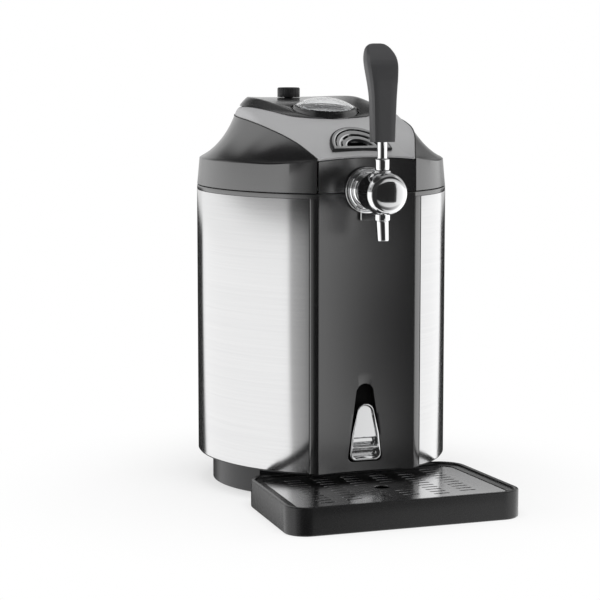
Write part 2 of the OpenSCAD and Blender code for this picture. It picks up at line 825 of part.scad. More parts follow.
// the pull in the half-moon, its two ears and the hooks that reach down to the striker
module latch_lever() {
    pivot = [
        latch_o[1] + latch_pivot[0] * cos(latch_tilt) - latch_pivot[1] * sin(latch_tilt),
        latch_o[2] + latch_pivot[0] * sin(latch_tilt) + latch_pivot[1] * cos(latch_tilt)];
    color(chrome) latch_place() slab(-5, -0.6) difference() {
        half_moon(21.2, 27.4, -2.3);
        half_moon(16.6, 20, -4);
    }
    color(chrome) difference() {
        for (s = [-1, 1]) {
            slab_x(s * 12.5 - 1.5, s * 12.5 + 1.5) hull() {
                translate(pivot) circle(3.2, $fn = 32);
                translate([-109, 360]) circle(2, $fn = 24);
            }
            slab_x(s * 12.5 - 1.5, s * 12.5 + 1.5) polygon([
                [-111, 360], [-111, 314], [-109, 312.5], [-104.2, 315.2], [-104.2, 316.4],
                [-107.2, 316.8], [-107.2, 360]]);
            latch_place() {
                box([s * 12.5 - 1.5, s * 12.5 + 1.5], [12, 18.5], [-9, -4.5]);
                box([s * 12.5 - 1.5, s * 12.5 + 1.5], [18, 26], [-9, -5.6]);
            }
        }
        rod_x(-20, 20, pivot[0], pivot[1], 1.56);
    }
}

module lid_liner() {
    color(white) {
        difference() {
            slab(325, 327.4) outline(6);
            box([-42, 42], [-160, -97], [300, 340]);
            slab(300, 340) hollow_front(80, -30, 34);
            translate([0, 0, 320]) cylinder(h = 20, r = 46);
        }
        rotate_extrude() polygon([
            [46, 325], [48, 325], [48, 350], [46, 352], [0, 352], [0, 350], [44.6, 350], [46, 348.6]]);
    }
}

module lid_gasket() {
    color(rubber) difference() {
        translate([0, 0, 319.3]) cylinder(h = 5.6, r = 94.6, $fn = 144);
        translate([0, 0, 310]) cylinder(h = 20, r = 90.8, $fn = 144);
    }
}

// ---------- drip tray ----------

module tray_plan(d = 0) {
    offset(delta = -d) hull() {
        for (s = [-1, 1]) {
            translate([s * (tray_w - 22), tray_front + 22]) circle(22);
            translate([s * 91, -125]) circle(28);
        }
    }
}

module drip_tray() {
    color(soft_black) difference() {
        union() {
            slab(0, tray_h - 1) tray_plan();
            slab(tray_h - 1.01, tray_h) tray_plan(0.8);
        }
        slab(26.4, 40) tray_plan(4.6);
        slab(24.4, 40) tray_plan(12.6);
        slab(3, 40) tray_plan(17);
    }
}

// slots in columns across the tray, every other column set back by half a pitch
module slot_rows(pitch = 10.4) {
    for (i = [-3:2]) let (x = 30.6 * (i + 0.5), back = i % 2 == 0 ? 0 : pitch / 2)
        for (row = [-4:6]) let (y = -183.8 - back + row * pitch)
            if (abs(x) > 20 || abs(y + 184) > 12)
                translate([x, y]) {
                    square([slot_l - slot_w, slot_w], center = true);
                    for (s = [-1, 1]) translate([s * (slot_l - slot_w) / 2, 0])
                        circle(d = slot_w, $fn = 24);
                }
}

module drip_grille() {
    color(steel) slab(24.45, 25.65) difference() {
        tray_plan(13);
        translate([0, -184]) circle(7.75);
        slot_rows();
    }
}

// ---------- assembly ----------

feet();
base_plinth();
base_cover();
power_board();
transformer();
body_floor();
body_frame();
steel_panel_left();
steel_panel_right();
front_panel();
bottle_opener();
top_deck();
cooling_well();
insulation();
cold_block();
peltier_module();
heat_sink();
fan_frame();
fan_rotor();
rear_panel();
power_inlet();
power_switch();
body_screws();
hinge_bracket();
hinge_pin();
latch_striker();
tap_flange();
flange_tab();
tap_shank();
tap_locknut();
tap_gasket();
tap_body();
tap_cap();
spout_collar();
spout();
lever_stem();
tap_handle();
lid_shell();
lid_front();
lid_saddle();
lid_island();
dome_bezel();
dome_lens();
display_face();
display_board();
regulator_knob();
regulator_body();
co2_cartridge();
co2_holder();
latch_frame();
latch_cup();
latch_lever();
latch_pin();
lid_liner();
lid_gasket();
lid_hinge_leaf();
drip_tray();
drip_grille();
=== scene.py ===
# %% [markdown]
# # A cooled mini keg dispenser, dressed for its portrait
# The measured solids of the dispenser come in from the shared frame: body, hinged lid, tap,
# latch, cooler and drip tray. This lesson gives them their real surfaces. Outer shells are
# rebuilt as smooth numpy surfaces, and the inner and rear parts keep their solids and only
# get a better finish. Everything is in metres: X right, Y to the rear, Z up.

# %% Load the frame
import bmesh
import bpy
import numpy as np
from math import cos, pi, radians, sin
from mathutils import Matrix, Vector


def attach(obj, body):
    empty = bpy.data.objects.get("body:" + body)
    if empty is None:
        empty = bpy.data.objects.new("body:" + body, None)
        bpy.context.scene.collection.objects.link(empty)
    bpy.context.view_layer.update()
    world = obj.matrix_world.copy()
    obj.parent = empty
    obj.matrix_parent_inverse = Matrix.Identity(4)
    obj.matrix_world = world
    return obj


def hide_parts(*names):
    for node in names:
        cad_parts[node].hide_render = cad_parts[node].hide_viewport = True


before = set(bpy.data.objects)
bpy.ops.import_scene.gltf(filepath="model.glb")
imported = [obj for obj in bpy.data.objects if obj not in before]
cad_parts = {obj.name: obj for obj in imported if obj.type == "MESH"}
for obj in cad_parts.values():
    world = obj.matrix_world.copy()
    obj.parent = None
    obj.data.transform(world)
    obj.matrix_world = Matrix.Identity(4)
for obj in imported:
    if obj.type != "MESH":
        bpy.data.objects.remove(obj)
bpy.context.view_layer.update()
scene = bpy.context.scene
scene.view_settings.view_transform = "Standard"

# %% [markdown]
# ## The camera
# The dispenser is seen from its front left, a little from above, with a long lens. A square
# frame on a 36 mm sensor and a 126 mm lens at about 2.3 m gives the same gentle perspective,
# and a turn about Z and X aims it, so no shift is needed.

# %% Camera
LENS_MM, SENSOR_MM = 126, 36
CAMERA_AT = (-0.7876, -2.1227, 0.4892)
CAMERA_DIP, CAMERA_TURN = 7.41, 19.83      # degrees below level, and degrees to the right
camera = bpy.data.objects.new("studio_camera", bpy.data.cameras.new("studio_camera"))
scene.collection.objects.link(camera)
camera.data.lens, camera.data.sensor_width = LENS_MM, SENSOR_MM
camera.location = CAMERA_AT
camera.rotation_euler = (radians(90 - CAMERA_DIP), 0, radians(-CAMERA_TURN))
scene.camera = camera
print("camera at", tuple(camera.location))

# %% [markdown]
# ## Writing shader maths as Python
# A finish is a small graph of nodes. Placing them by hand hides the idea, so one class wraps
# a socket: arithmetic on it adds Math nodes, and `node` adds any other node in one line. A
# material is then read as a formula. Colours go through Mix, because a Math node would turn
# them grey.

# %% The socket wrapper
class Wire:
    """A shader socket that answers to + - * / and a few named functions."""

    def __init__(self, tree, socket):
        self.tree, self.socket = tree, socket

    def node(self, kind, settings=None, out=0, **inputs):
        """Adds a node of a kind: settings first, then its sockets; gives back an output."""
        n = self.tree.nodes.new("ShaderNode" + kind)
        for key, value in (settings or {}).items():
            if key == "stops":
                marks = n.color_ramp.elements
                marks[0].position, marks[-1].position = value[0][0], value[-1][0]
                for at, _ in value[1:-1]:
                    marks.new(at)
                for mark, (_, shade) in zip(marks, value):
                    mark.color = (shade, shade, shade, 1)
            else:
                setattr(n, key, value)
        for key, value in inputs.items():
            name = key.replace("_", " ")
            numbered = key[0] == "i" and key[1:].isdigit()
            socket = n.inputs[int(key[1:])] if numbered else n.inputs[name]
            if isinstance(value, Wire):
                self.tree.links.new(value.socket, socket)
            else:
                socket.default_value = value
        return Wire(self.tree, n.outputs[out])

    def maths(self, operation, a, b=0.0):
        return self.node("Math", {"operation": operation}, i0=a, i1=b)

    def __add__(self, o): return self.maths("ADD", self, o)
    def __radd__(self, o): return self.maths("ADD", o, self)
    def __rsub__(self, o): return self.maths("SUBTRACT", o, self)
    def __mul__(self, o): return self.maths("MULTIPLY", self, o)
    def __rmul__(self, o): return self.maths("MULTIPLY", o, self)
    def __truediv__(self, o): return self.maths("DIVIDE", self, o)
    def max(self, o): return self.maths("MAXIMUM", self, o)
    def root(self): return self.maths("SQRT", self)

    def step(self, low, high):
        """0 below low, 1 above high, and a smooth rise between."""
        return self.node("MapRange", {"interpolation_type": "SMOOTHSTEP"},
                         Value=self, From_Min=low, From_Max=high, To_Min=0.0, To_Max=1.0)

    def tint(self, a, b):
        """Colour a where this is 0 and colour b where it is 1."""
        return self.node("Mix", {"data_type": "RGBA"}, out=2, i0=self, i6=(*a, 1), i7=(*b, 1))

    def parts(self):
        """The X, Y and Z of a vector."""
        n = self.tree.nodes.new("ShaderNodeSeparateXYZ")
        self.tree.links.new(self.socket, n.inputs[0])
        return [Wire(self.tree, s) for s in n.outputs]

    def noise(self, scale, stretch=(1, 1, 1), detail=2.0, rough=0.5):
        """Soft noise on this vector, squeezed by stretch."""
        at = self.node("VectorMath", {"operation": "MULTIPLY"}, i0=self, i1=stretch)
        return self.node("TexNoise", Vector=at, Scale=scale, Detail=detail, Roughness=rough)


FINISHES = {}


def finish(name, colour, metallic=0.0, roughness=0.5, recipe=None, **fixed):
    """A Principled material. recipe(place) gives back the sockets that vary over it."""
    mat = bpy.data.materials.new(name)
    mat.use_nodes = True
    tree = mat.node_tree
    shader = tree.nodes["Principled BSDF"]
    shader.inputs["Base Color"].default_value = (*colour, 1)
    shader.inputs["Metallic"].default_value = metallic
    shader.inputs["Roughness"].default_value = roughness
    for key, value in fixed.items():
        shader.inputs[key.replace("_", " ")].default_value = value
    place = Wire(tree, tree.nodes.new("ShaderNodeTexCoord").outputs["Object"])
    for key, value in (recipe(place) if recipe else {}).items():
        tree.links.new(value.socket, shader.inputs[key])
    FINISHES[name] = mat


def raised(height, distance, strength=1.0):
    """A Bump node: the height field in metres of relief."""
    return height.node("Bump", Height=height, Distance=distance, Strength=strength)


print("shader helpers ready")

# %% [markdown]
# ## Brushed steel
# The side panels are sheet steel brushed in long level strokes. Real brushing is a bundle of
# fine scratches that run round the body, so a noise squeezed hard along Z gives strokes that
# are thin in height and long along the panel. The strokes vary the roughness and colour a
# little and lift a shallow bump; a second, slower noise keeps the sheet from looking printed.

# %% Brushed steel
def brushing(place):
    fine = place.noise(1.0, (9, 9, 5200), 3, 0.7)
    wide = place.noise(1.0, (4, 4, 900), 2, 0.6)
    cloud = place.noise(7.0, (1, 1, 3), 2)
    stroke = fine * 0.65 + wide * 0.35
    return {"Base Color": stroke.step(0.25, 0.78).tint((0.60, 0.60, 0.605), (0.665, 0.665, 0.665)),
            "Roughness": 0.12 + 0.05 * fine + 0.03 * cloud,
            "Normal": raised(stroke, 0.00003, 0.4)}


finish("brushed steel panel", (0.7, 0.7, 0.7), 1.0, 0.3, brushing, Anisotropic=0.6,
       Anisotropic_Rotation=0.25)


def grille_steel(place):
    grain = place.noise(1.0, (260, 2600, 260), 2, 0.6)
    cloud = place.noise(14.0)
    return {"Base Color": grain.step(0.3, 0.7).tint((0.66, 0.66, 0.67), (0.80, 0.80, 0.80)),
            "Roughness": 0.13 + 0.09 * grain + 0.05 * cloud}


finish("polished grille steel", (0.76, 0.76, 0.76), 1.0, 0.15, grille_steel)

# %% [markdown]
# ## Chrome, zinc, aluminium and brass
# Chrome is a mirror, so its look comes from what stands round it; the finish itself is only
# a nearly white metal with a breath of haze that changes slowly, as plating does. The zinc
# hinge pins, the cooler's aluminium and the brass regulator use the same idea with rougher,
# warmer or duller numbers.

# %% Bare metals
def haze(low, high, scale=40.0):
    def recipe(place):
        return {"Roughness": low + (high - low) * place.noise(scale, detail=3)}
    return recipe


finish("chrome", (0.86, 0.865, 0.87), 1.0, 0.05, haze(0.03, 0.075))
finish("zinc steel", (0.62, 0.62, 0.61), 1.0, 0.35, haze(0.26, 0.46, 180))
finish("aluminium", (0.77, 0.78, 0.79), 1.0, 0.35, haze(0.26, 0.44, 120))
finish("brass", (0.78, 0.57, 0.27), 1.0, 0.28, haze(0.2, 0.4, 90))

# %% [markdown]
# ## The black plastics
# Three blacks meet on this object. The lid's shoulders and island are polished: a clear,
# hard gloss over black with the faintest waviness. The front panel, tray and knob are satin:
# a fine moulded grain blurs the reflections. The handle is a soft dark grey. A moulded grain
# is a small noise bump, well under a tenth of a millimetre deep.

# %% Blacks
def polish(place):
    return {"Roughness": 0.19 + 0.05 * place.noise(25.0, detail=2),
            "Normal": raised(place.noise(9.0, detail=1), 0.0006, 0.12)}


def moulded(low, high, depth=0.00003, scale=1500.0):
    def recipe(place):
        grain = place.noise(scale, detail=2, rough=0.6)
        cloud = place.noise(18.0, detail=3)
        return {"Roughness": low + (high - low) * (0.5 * grain + 0.5 * cloud),
                "Normal": raised(grain, depth, 0.6)}
    return recipe


finish("gloss black", (0.006, 0.006, 0.0063), 0.0, 0.21, polish, Specular_IOR_Level=1.0,
       IOR=1.75)
finish("satin black", (0.014, 0.014, 0.015), 0.0, 0.33, moulded(0.26, 0.42))
finish("tray black", (0.010, 0.010, 0.0103), 0.0, 0.26, moulded(0.22, 0.32))
# the darker, nearly unglossy black of the sheet of painted shade inside the opener's recess
finish("recess shade black", (0.004, 0.004, 0.004), 0.0, 0.8, moulded(0.7, 0.9, 0.00005, 900.0),
       Specular_IOR_Level=0.15)
finish("panel black", (0.012, 0.012, 0.0125), 0.0, 0.24, moulded(0.20, 0.28),
       Specular_IOR_Level=1.0, IOR=1.6)
finish("handle black", (0.045, 0.045, 0.047), 0.0, 0.34, moulded(0.28, 0.42))
finish("rubber", (0.02, 0.02, 0.02), 0.0, 0.75, moulded(0.65, 0.85, 0.00006, 900.0))

# %% [markdown]
# ## The silver saddle, lens, display and the hidden parts
# The saddle that carries the latch is plastic sprayed in matte silver, which has a fine
# sparkle: a tiny noise in the metal share and the roughness. The dome is clear acrylic, so it
# passes light, and the display under it is a dark glass with a plain ring. Foam, circuit
# board and white liner each get a texture at their own scale.

# %% Paint, glass, board and foam
def sprayed(place):
    fleck = place.noise(2600.0, detail=1)
    cloud = place.noise(12.0, detail=3)
    mottle = 0.6 * fleck + 0.4 * cloud
    return {"Base Color": mottle.tint((0.37, 0.37, 0.375), (0.47, 0.47, 0.475)),
            "Roughness": 0.40 + 0.12 * fleck,
            "Normal": raised(fleck, 0.00002, 0.5)}


DISPLAY_Y = -0.0176                        # middle of the display, in metres
RING_INNER, RING_OUTER, RING_BLUR = 0.0234, 0.0254, 0.0002


def display_glass(place):
    x, y, _ = place.parts()
    r = (x * x + (y + -DISPLAY_Y) * (y + -DISPLAY_Y)).root()
    ring = (r.step(RING_INNER - RING_BLUR, RING_INNER + RING_BLUR)
            * (1 - r.step(RING_OUTER - RING_BLUR, RING_OUTER + RING_BLUR)))
    return {"Base Color": ring.tint((0.02, 0.021, 0.024), (0.42, 0.43, 0.45)),
            "Roughness": 0.12 + 0.1 * place.noise(60.0)}


def circuit(place):
    lanes = place.noise(1.0, (900, 90, 90), 1).step(0.48, 0.52)
    return {"Base Color": lanes.tint((0.012, 0.07, 0.03), (0.03, 0.14, 0.06)),
            "Roughness": 0.35 + 0.2 * lanes}


def beads(place):
    cell = place.node("TexVoronoi", {"feature": "DISTANCE_TO_EDGE"}, Vector=place, Scale=260.0)
    return {"Base Color": cell.step(0.0, 0.25).tint((0.66, 0.64, 0.56), (0.82, 0.80, 0.73)),
            "Normal": raised(cell, 0.0006, 0.6)}


finish("matte silver paint", (0.56, 0.56, 0.565), 0.25, 0.45, sprayed)
finish("clear lens", (0.97, 0.975, 0.98), 0.0, 0.03, haze(0.02, 0.05), Transmission_Weight=1.0,
       IOR=1.46)
finish("display glass", (0.02, 0.02, 0.024), 0.0, 0.15, display_glass)
finish("circuit board", (0.02, 0.1, 0.05), 0.0, 0.4, circuit)
finish("foam", (0.78, 0.76, 0.68), 0.0, 0.9, beads)
finish("white plastic", (0.78, 0.78, 0.76), 0.0, 0.4, moulded(0.34, 0.5, 0.00003, 1200.0))
print("finishes:", len(FINISHES))

# %% [markdown]
# ## The studio
# A pale floor catches the shadow. Where the camera, a mirror or the lens looks past the
# dispenser it should see plain white, so Light Path mixes a white of strength 1 into the
# world and the floor for those rays alone, and the lamps never have to be turned up for it.
# Near the base the floor stays partly a lit surface, so the shadow shows.

# %% Floor and world
FLOOR_HALF = 6.0
WHITE_NEAR = 0.62                          # share of plain white close to the base
SHADOW_REACH = (0.14, 0.40)                # the floor turns to plain white between these radii
FOOTPRINT = (-0.02, -0.04)                 # middle of the shadow
FILL_STRENGTH, WHITE_STRENGTH = 0.42, 1.0


def studio_material(name, build):
    mat = bpy.data.materials.new(name)
    mat.use_nodes = True
    tree = mat.node_tree
    tree.nodes.clear()
    out = tree.nodes.new("ShaderNodeOutputMaterial")
    base = Wire(tree, tree.nodes.new("ShaderNodeTexCoord").outputs["Object"])
    tree.links.new(build(base).socket, out.inputs["Surface"])
    return mat


def seen(place):
    """1 for rays from the camera, from a mirror or through glass."""
    path = place.tree.nodes.new("ShaderNodeLightPath").outputs
    cam, gloss, clear = [Wire(place.tree, path[n]) for n in
                         ("Is Camera Ray", "Is Glossy Ray", "Is Transmission Ray")]
    return cam.max(gloss).max(clear)


def floor_recipe(place):
    """White share = seen x (near share, rising to 1 with the distance from the footprint)."""
    x, y, _ = place.parts()
    dx, dy = x + -FOOTPRINT[0], y + -FOOTPRINT[1]
    far = (dx * dx + dy * dy).root().step(*SHADOW_REACH)
    lit = place.node("BsdfDiffuse", Color=(0.86, 0.86, 0.86, 1), Roughness=0.6)
    white = place.node("Emission", Color=(1, 1, 1, 1), Strength=WHITE_STRENGTH)
    share = seen(place) * (WHITE_NEAR + (1 - WHITE_NEAR) * far)
    return place.node("MixShader", i0=share, i1=lit, i2=white)


def object_of(name, points, faces, mat):
    """An object in the scene from points in metres, lists of corners and a material."""
    mesh = bpy.data.meshes.new(name)
    mesh.from_pydata(points, [], faces)
    mesh.materials.append(mat)
    obj = bpy.data.objects.new(name, mesh)
    scene.collection.objects.link(obj)
    return obj


def level_square(name, half, z, mat):
    """A level square of the studio, from -half to half in X and Y."""
    corners = [(-half, -half, z), (half, -half, z), (half, half, z), (-half, half, z)]
    obj = object_of(name, corners, [(0, 1, 2, 3)], mat)
    return obj


floor = level_square("studio_floor", FLOOR_HALF, 0.0,
                     studio_material("studio floor", floor_recipe))
floor.visible_glossy = False

world = bpy.data.worlds.new("studio_world")
world.use_nodes = True
scene.world = world
tree = world.node_tree
tree.nodes.clear()
sky = Wire(tree, tree.nodes.new("ShaderNodeTexCoord").outputs["Object"])
fill = sky.node("Background", Color=(1, 1, 1, 1), Strength=FILL_STRENGTH)
white = sky.node("Background", Color=(1, 1, 1, 1), Strength=WHITE_STRENGTH)
both = sky.node("MixShader", i0=seen(sky), i1=fill, i2=white)
tree.links.new(both.socket, tree.nodes.new("ShaderNodeOutputWorld").inputs["Surface"])
print("floor and world ready")

# %% [markdown]
# ## Soft boxes
# Three area lamps light the dispenser: one at each side and one overhead. A lamp's power
# spreads over its area, so a brighter look at the same size is easier to set as a radiance,
# from which the power follows. Mirrors don't show the lamps, because the cards of the next
# step stand in for them.

# %% Lamps
def around(azimuth, radius, z):
    """A place at an azimuth in degrees: 0 is the front, 90 the right."""
    a = radians(azimuth)
    return (radius * sin(a), -radius * cos(a), z)


def soft_box(name, place, aim, width, height, radiance):
    """An area lamp of a given brightness: its power is radiance x pi x area."""
    lamp = bpy.data.lights.new(name, "AREA")
    lamp.shape, lamp.size, lamp.size_y = "RECTANGLE", width, height
    lamp.energy = radiance * pi * width * height
    obj = bpy.data.objects.new(name, lamp)
    obj.location = place
    obj.rotation_euler = (Vector(aim) - Vector(place)).to_track_quat("-Z", "Y").to_euler()
    scene.collection.objects.link(obj)
    obj.visible_glossy = False


MIDDLE = (0, 0, 0.25)
soft_box("left_box", around(-112, 1.9, 0.75), MIDDLE, 1.7, 1.2, 3.2)
soft_box("right_box", around(95, 1.9, 0.75), MIDDLE, 1.4, 1.2, 3.2)
soft_box("top_box", (-0.15, -0.7, 2.0), (0, 0, 0.3), 1.6, 1.4, 3.4)

# %% [markdown]
# ## A drum of cards for the mirrors
# Gloss black, steel and chrome only show what is round them. Photographers stand white cards
# there for the long lights, and black ones for the dark strips at the edges. Dozens of cards
# would do; one drum whose brightness follows a table over azimuth and height is easier to
# tune, with a roof over it and one small black flag in front for the tap's cap. The cards
# are met by glossy rays alone, so they neither shade the dispenser nor stand in any view.

# %% The drum's brightness table
LEFT = [(-58.5, .93), (-56.5, .42), (-42, .26), (-37, .02)]
NEAR = LEFT + [(6, .02), (12, .42), (30, .8), (46, .9), (118, 1)]
HOLLOW = LEFT + [(7, .02), (17, .12), (32, .8), (46, .9), (118, 1)]
REAR_LEFT = [(-180, .02), (-155.5, .02), (-154, .93)]
REAR_RIGHT = [(120, .02), (154, .02), (156, .9), (165, .9), (167, .02), (180, .02)]
# Each row takes over from the one before it between two heights in metres, with stops of
# (azimuth, brightness). The first four rows show in the upright walls, the next two in the
# band and the shoulders' upper part, and the last two in the slopes of the lid.
CARDS = [
    (-9, -9, REAR_LEFT + NEAR + REAR_RIGHT),
    (-0.05, -0.01, REAR_LEFT + HOLLOW + REAR_RIGHT),
    (0.12, 0.17, REAR_LEFT + NEAR + REAR_RIGHT),
    (0.24, 0.29, [(-180, .6), (-160, .7), (-154, .85)] + NEAR + [(122, .5), (180, .6)]),
    (0.38, 0.46, [(-180, .6), (-150, .6), (-98, .3), (-60, .3), (-56, .03), (9, .03), (14, .4),
                  (40, .5), (110, .6), (125, .1), (140, .3), (158, .8), (180, .7)]),
    (0.52, 0.62, [(-180, .5), (-165, .55), (-150, .5), (-120, .4), (-92, .1), (-78, .25),
                  (-58, .2), (-50, .02), (40, .02), (60, .4), (110, .4), (135, .2), (180, .5)]),
    (0.68, 0.80, [(-180, .03), (-170, .06), (-160, .5), (-140, .65), (-120, .6), (-78, .25),
                  (-58, .2), (-50, .02), (40, .02), (60, .4), (110, .4), (135, .04), (180, .03)]),
    (0.98, 1.12, [(-180, .03), (-152, .06), (-138, .5), (-118, .7), (-75, .4), (-55, .05),
                  (40, .05), (60, .5), (120, .5), (150, .4), (165, .4), (180, .03)])]
CARD_STRENGTH = 1.4
print("card rows:", len(CARDS))

# %% The drum, its roof and the small flag
DRUM_RADIUS, DRUM_LOW, DRUM_TOP = 0.95, -0.8, 1.3


def ramp(turn, stops):
    """A brightness that changes with azimuth; turn is 0 to 1 for -180 to 180 degrees."""
    return turn.node("ValToRGB", {"stops": [((a + 180) / 360, v) for a, v in stops]}, Fac=turn)


def drum_recipe(place):
    """Rows of the table mixed over each other by height, each a ramp over azimuth."""
    x, y, z = place.parts()
    turn = place.maths("ARCTAN2", x, y * -1.0) / (2 * pi) + 0.5
    shade = ramp(turn, CARDS[0][2])
    for low, high, stops in CARDS[1:]:
        shade = place.node("Mix", {"data_type": "RGBA"}, out=2, i0=z.step(low, high), i6=shade,
                           i7=ramp(turn, stops))
    return place.node("Emission", Color=shade, Strength=CARD_STRENGTH)


def roof_recipe(place):
    """Nearly black over the left shoulder, grey over the saddle."""
    shade = place.parts()[0].step(-0.35, 0.05).tint((0.03,) * 3, (0.28,) * 3)
    return place.node("Emission", Color=shade, Strength=1.0)


def flag_recipe(place):
    return place.node("Emission", Color=(1, 1, 1, 1), Strength=0.02)


def glossy_only(obj):
    obj.visible_camera = obj.visible_diffuse = obj.visible_shadow = False
    obj.visible_transmission = obj.visible_volume_scatter = False


def curved_card(name, a0, a1, z0, z1, radius, recipe, count=97):
    """Part of a cylinder round the object, from azimuth a0 to a1 and between two heights."""
    a = np.radians(np.linspace(a0, a1, count))
    ring = np.stack([radius * np.sin(a), -radius * np.cos(a)], 1)
    points = np.concatenate([np.c_[ring, np.full(count, z)] for z in (z0, z1)])
    faces = [(i, i + 1, i + count + 1, i + count) for i in range(count - 1)]
    obj = object_of(name, points.tolist(), faces, studio_material(name, recipe))
    glossy_only(obj)


curved_card("surround", -180, 180, DRUM_LOW, DRUM_TOP, DRUM_RADIUS, drum_recipe)
curved_card("small_front_flag", 6, 20, 0.23, 0.38, 0.78, flag_recipe)
glossy_only(level_square("roof_card", DRUM_RADIUS + 0.01, DRUM_TOP,
                         studio_material("roof card", roof_recipe)))
print("cards stand at radius", DRUM_RADIUS)

# %% [markdown]
# ## Surfaces from numbers
# Every new shell is a surface of two parameters on a grid, worked out as whole arrays in
# millimetres. Three helpers turn such arrays into pieces: `grid_faces` joins a grid of points
# with quads, `piece` builds the object, gives it a finish, hangs it on the body it rides on and
# hides the solid it stands for, and `loops_piece` does both for a stack of loops and closes
# its two ends.

# %% Mesh helpers
MM = 0.001
WELD = 0.000002                            # points closer than this are one point


def grid_faces(n, m, around_n=False, around_m=True):
    """Quads between n loops of m points; loops and points may close on themselves."""
    i = np.arange(n if around_n else n - 1)[:, None]
    j = np.arange(m if around_m else m - 1)[None, :]
    up, on = (i + 1) % n, (j + 1) % m
    return np.stack([i * m + j, i * m + on, up * m + on, up * m + j], -1).reshape(-1, 4)


def piece(name, points, faces, look, body, nodes, slot, angle=38, bevel=0.0, wall=0.0):
    """A finished piece from points in millimetres and a list of faces."""
    obj = object_of(name, (np.asarray(points, float) * MM).reshape(-1, 3).tolist(),
                    [list(map(int, f)) for f in faces], FINISHES[look])
    mesh = obj.data
    bm = bmesh.new()
    bm.from_mesh(mesh)
    bmesh.ops.remove_doubles(bm, verts=bm.verts, dist=WELD)
    bmesh.ops.dissolve_degenerate(bm, edges=bm.edges, dist=WELD)
    bmesh.ops.recalc_face_normals(bm, faces=bm.faces)
    bm.to_mesh(mesh)
    bm.free()
    mesh.shade_smooth()
    mesh.set_sharp_from_angle(angle=radians(angle))
    if wall:
        mod = obj.modifiers.new("wall", "SOLIDIFY")
        mod.thickness, mod.offset, mod.use_even_offset = wall * MM, -1.0, True
    if bevel:
        mod = obj.modifiers.new("edges", "BEVEL")
        mod.width, mod.segments, mod.limit_method = bevel * MM, 2, "ANGLE"
        mod.angle_limit, mod.harden_normals = radians(40), True
    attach(obj, body)
    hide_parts(*nodes)
    print(f"{name}: {len(mesh.vertices)} points, {len(mesh.polygons)} faces")


def loops_piece(name, loops, *args, ring=False, **kw):
    """A closed skin through loops of points (n, m, 3); the first and last loop are capped
    unless the loops themselves close in a ring."""
    n, m = loops.shape[:2]
    pts, faces = loops.reshape(-1, 3), grid_faces(n, m, ring).tolist()
    if not ring:
        faces += [list(range(m - 1, -1, -1)), list(range((n - 1) * m, n * m))]
    piece(name, pts, faces, *args, **kw)


def through(p, u):
    """Catmull-Rom curve through control points p at the parameters u, all at once."""
    p, u = np.asarray(p, float), np.asarray(u, float)
    if p.ndim == 1:
        return through(p[:, None], u)[..., 0]
    n = len(p) - 1
    i = np.minimum(np.floor(u), n - 1).astype(int)
    f = (u - i)[:, None]
    a, b, c, d = p[np.maximum(i - 1, 0)], p[i], p[i + 1], p[np.minimum(i + 2, n)]
    return b + 0.5 * f * (c - a + f * (2 * a - 5 * b + 4 * c - d + f * (3 * b - a - 3 * c + d)))


def softened(profile, radius, steps=4):
    """A closed profile with each corner replaced by a small arc: a quadratic curve from
    `radius` before the corner to `radius` after it."""
    p = np.asarray(profile, float)
    before, after = np.roll(p, 1, 0) - p, np.roll(p, -1, 0) - p
    la, lb = np.linalg.norm(before, axis=1), np.linalg.norm(after, axis=1)
    a = p + before / la[:, None] * np.minimum(radius, 0.45 * la)[:, None]
    b = p + after / lb[:, None] * np.minimum(radius, 0.45 * lb)[:, None]
    t = np.linspace(0, 1, steps)[None, :, None]
    arc = (1 - t) ** 2 * a[:, None] + 2 * t * (1 - t) * p[:, None] + t ** 2 * b[:, None]
    on_axis = (p[:, 0] < 1e-6)[:, None, None]
    return np.where(on_axis, p[:, None], arc).reshape(-1, p.shape[1])


def lathe(name, profile, *args, centre, lean, soft, turns):
    """A turned piece: a closed profile of (radius, height) spun about Z, then leant back
    about X by `lean` degrees and set on its centre. Points on the axis meet in a pole."""
    p = softened(profile, soft) if soft else np.asarray(profile, float)
    a = np.linspace(0, 2 * np.pi, turns, endpoint=False)
    r, h = p[:, 0][:, None], p[:, 1][:, None]
    pts = np.stack([r * np.cos(a), r * np.sin(a), h + 0 * a], -1)
    piece(name, leaned(pts, lean) + np.array(centre), grid_faces(len(p), turns, True), *args,
          angle=50)


def leaned(points, degrees):
    """Points turned about the X axis."""
    c, s = cos(radians(degrees)), sin(radians(degrees))
    x, y, z = np.moveaxis(np.asarray(points, float), -1, 0)
    return np.stack([x, c * y - s * z, s * y + c * z], -1)


def hull_curve(discs, count):
    """The stretched-band outline of some discs (x, y, r), resampled at equal steps: for each
    direction, the farthest point of the farthest disc."""
    a = np.linspace(0, 2 * np.pi, 2880, endpoint=False)
    way = np.stack([np.cos(a), np.sin(a)], -1)
    d = np.asarray(discs, float)
    best = np.argmax(way @ d[:, :2].T + d[:, 2], axis=1)
    p = d[best, :2] + d[best, 2][:, None] * way
    p = np.vstack([p, p[:1]])
    run = np.r_[0, np.cumsum(np.linalg.norm(np.diff(p, axis=0), axis=1))]
    at = np.linspace(0, run[-1], count, endpoint=False)
    return np.stack([np.interp(at, run, p[:, 0]), np.interp(at, run, p[:, 1])], -1)


def mixed(a, b, f):
    """a where f is 0, b where f is 1, and the straight line between."""
    return a + (b - a) * f


def flipped(points):
    """The mirror image across the middle plane."""
    return points * np.array([-1, 1, 1])


print("mesh helpers ready")

# %% [markdown]
# ## The body: pillars, rim and wall
# The body is an oval drum: half an ellipse in front, a flattened circle behind. Its black
# frame shows as two upright pillars beside the front panel and a narrow rim under the lid.
# Each is a short profile carried along the oval, so a function gives the oval's point for an
# angle and an inward offset, and the profile is swept over a fine list of angles.

# %% The oval outline
HALF_WIDTH, FRONT_REACH, REAR_FLAT = 132.0, 154.0, 125.0


